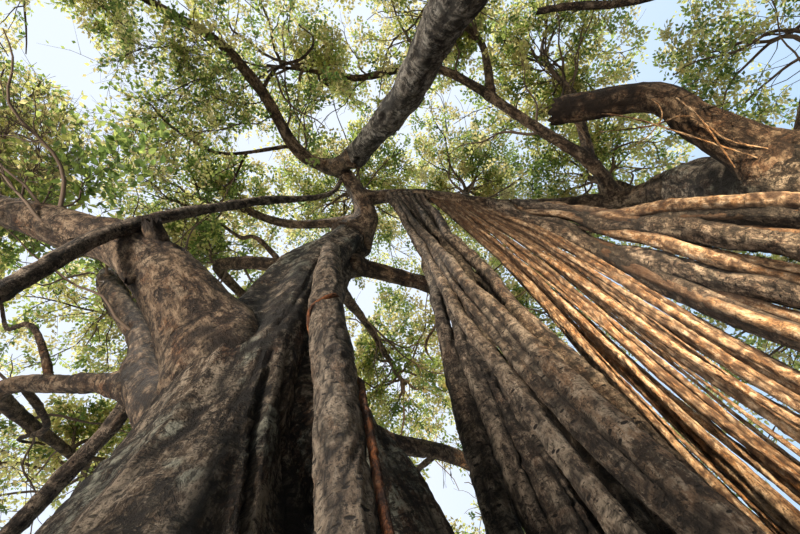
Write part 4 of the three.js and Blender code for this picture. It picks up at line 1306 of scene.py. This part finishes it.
for i, (name, row) in enumerate(ROOT_ROWS.items()):
    rng = np.random.default_rng(300 + i)
    lines = row_lines(row)
    roots = [Limb(line, sway=min(0.75 * line[1][3], 75), vary=0.16, seed=90 * i + k)
             for k, (_, line) in enumerate(lines)]
    row_limbs += roots
    for kind in dict.fromkeys(kind for kind, _ in lines):
        tubes = []
        for k, root in enumerate(roots):
            if lines[k][0] == kind:
                tint = (rng.uniform(-0.1, 0.22), rng.uniform(-0.35, 0.35))
                tubes.append((root, dict(seed=80 + 20 * i + k, grounded=True, oval=0.12, twist=0.0009,
                                         beside=[other for other in roots if other is not root],
                                         hosts=[limbs["bridge_bough"]], tint=tint)))
        add_skin(name, kind, "root_bark", *tubes)


def hanging_lines():
    """Thin roots that hang from the boughs, crooked and free at their lower ends."""
    rng = np.random.default_rng(55)
    for name, first, last, count, short, long, radius in HANGING:
        for _ in range(count):
            x, y, z = limbs[name].at(rng.uniform(first, last))
            length = min(rng.uniform(short, long), z - LOWEST_END)
            east, north = rng.uniform(-0.12, 0.12, 2) * length
            size = radius * rng.uniform(0.6, 1.3)
            yield name, [(x + east * share, y + north * share, z - length * share, size * (1 - 0.5 * share))
                         for share in (0, 0.33, 0.66, 1)]


def add_fine_limbs():
    """One piece for each solid that bears finer limbs or hanging roots."""
    shapes = {}
    for i, (name, kind, ragged, line) in enumerate(FINE_LIMBS):
        thin = line[0][3] < 20
        stub = kind == "stub"
        limb = Limb(line, seed=200 + i, vary=0.12, sway=0 if ragged or thin else 0.9 * line[0][3])
        shape = shapes.setdefault((name, "bough" if stub else kind), Shape())
        add_tube(shape, limb, "bough", 200 + i, fewest=7, oval=0.06, ragged=ragged,
                 tint=(0.25, 0.5) if stub else (0.0, 0.1))
    for i, (name, line) in enumerate(hanging_lines()):
        shape = shapes.setdefault((name, "root"), Shape())
        limb = Limb(line, seed=300 + i, vary=0.25, sway=26)
        add_tube(shape, limb, "root", 300 + i, fewest=5, stretch=2.4)
    for (name, kind), shape in shapes.items():
        slot = "bough_bark" if kind == "bough" else "root_bark"
        stand_for(shape.build(f"{name}_fine_{kind}", BARKS[kind]), slot, name)


def vine_line():
    host = limbs["front_prop_root"]
    stations = []
    for i in range(VINE["steps"] + 1):
        t = mix(VINE["low"], VINE["high"], i / VINE["steps"])
        wound = max(0, (t - 0.3) / (VINE["high"] - 0.3)) ** 1.5
        angle = -0.35 + 2 * math.pi * VINE["turns"] * wound
        out = host.plain_radius(np.array([t]))[0] + VINE["radius"] * 0.8
        x, y, z = host.at(t)
        stations.append((x + out * math.cos(angle), y + out * math.sin(angle), 0 if i == 0 else z,
                         VINE["radius"]))
    return stations


add_fine_limbs()
add_skin("twining_root", "vine", "twining_root_bark", (Limb(vine_line()), dict(seed=71, grounded=True)))

# The foliage, one piece for each kind of leaf
keep_off = limb_tree([*limbs.values(), *row_limbs])
wood, twigs, stalks, leaves = Shape(), Shape(), Shape(), []
for mass in masses:
    grow_mass(mass, wood, twigs, stalks, leaves)
grow_side_limbs(wood, twigs)
grow_sprouts(twigs, stalks, leaves)
foliage_nodes = [f"foliage_{mass['label']}" for mass in masses]
twig_bark = plain_material("twig_bark", (0.070, 0.044, 0.028), 0.8)
branch_bark = plain_material("branch_bark", (0.105, 0.070, 0.046), 0.85)
for name, shape, material in (("twigs", twigs, twig_bark), ("leaf_stalks", stalks, twig_bark),
                              ("branches", wood, branch_bark)):
    stand_for(shape.build(name, material), "foliage", *foliage_nodes)
places = {key: np.concatenate([leaf[key] for leaf in leaves]) for key in leaves[0]}
order = np.argsort(np.argsort(places["tone"], kind="stable"), kind="stable") / len(places["tone"])
near = np.linalg.norm(places["at"] - np.array(EYE), axis=1) < NEAR
low = 0.0
for name, values in LEAF_KINDS.items():
    of_kind = (order >= low) & (order < low + values["share"])
    low += values["share"]
    shape = Shape()
    for chosen, outline, faces in ((of_kind & near, FINE_LEAF, FINE_FACES),
                                   (of_kind & ~near, FAR_LEAF, FAR_FACES)):
        points, tris = leaf_shapes({key: value[chosen] for key, value in places.items()}, outline, faces)
        shape.add(points, tris=tris)
    piece = shape.build(name, leaf_material(name, values["color"], values["glow"]), rounded=False)
    stand_for(piece, "foliage", *foliage_nodes)


# Floor, sky and lights

FLOOR_REACH, FLOOR_SIDES = 90000, 96


def add_floor():
    shape = Shape()
    around = np.arange(FLOOR_SIDES)
    angle = around * 2 * math.pi / FLOOR_SIDES
    rim = np.stack([np.cos(angle), np.sin(angle), 0 * angle], -1) * FLOOR_REACH
    shape.add(np.concatenate([rim, [[0, 0, 0]]]),
              tris=np.stack([around, np.roll(around, -1), np.full(FLOOR_SIDES, FLOOR_SIDES)], -1))
    shape.build("floor", plain_material("floor", (0.46, 0.44, 0.41), 0.9), rounded=False)


def add_lamp(name, kind, at, way, power, color, **settings):
    """A lamp, hidden from the camera, that shines against `way`."""
    data = bpy.data.lights.new(name, kind)
    data.energy, data.color = power, color
    for key, value in settings.items():
        setattr(data, key, value)
    lamp = bpy.data.objects.new(name, data)
    lamp.visible_camera = False
    lamp.matrix_world = Matrix.Translation(at) @ Vector(way).to_track_quat("Z", "Y").to_matrix().to_4x4()
    bpy.context.scene.collection.objects.link(lamp)


def add_disk_lamp(name, at, towards, size, power, color, spread):
    way = np.array(at) - np.array(towards)
    add_lamp(name, "AREA", at, way, power, color, shape="DISK", size=size, spread=math.radians(spread))


def add_sky():
    """An even pale sky overhead that fades towards the horizon, and is bluer in the east."""
    s = Shader(bpy.data.worlds.new("sky"))
    way = s.node("ShaderNodeTexCoord").outputs["Generated"]
    parts = s.node("ShaderNodeSeparateXYZ", {"Vector": way})
    strength = s.ramp(parts.outputs["Z"], 0.0, 0.55, (SKY_LOW, SKY_HIGH), "LINEAR")
    tint = s.ramp(parts.outputs["X"], 0.1, 0.75, kind="LINEAR")
    color = s.blend(tint, SKY_WEST, SKY_EAST)
    light = s.node("ShaderNodeBackground", {"Color": color, "Strength": strength})
    bpy.context.scene.world = s.finish(light.outputs["Background"], "ShaderNodeOutputWorld")


SKY_LOW, SKY_HIGH = 0.14, 1.12
SKY_WEST, SKY_EAST = (0.80, 0.88, 1.0), (0.50, 0.70, 0.96)
add_floor()
add_sky()
add_lamp("sun", "SUN", (0, 0, 0), (-0.75, -0.45, 1.0), 4.9, (1.0, 0.95, 0.86), angle=math.radians(5))
add_disk_lamp("key", (-7.5, -6.0, 0.5), (0.5, -0.6, 4.2), 2.6, 370, (1.0, 0.90, 0.78), 60)
add_disk_lamp("low_sunny", (3.4, -5.5, 0.4), (3.6, -0.1, 4.9), 0.7, 290, (1.0, 0.80, 0.54), 46)
bpy.context.scene.view_settings.view_transform = "Standard"
bpy.context.scene.view_settings.look = "None"
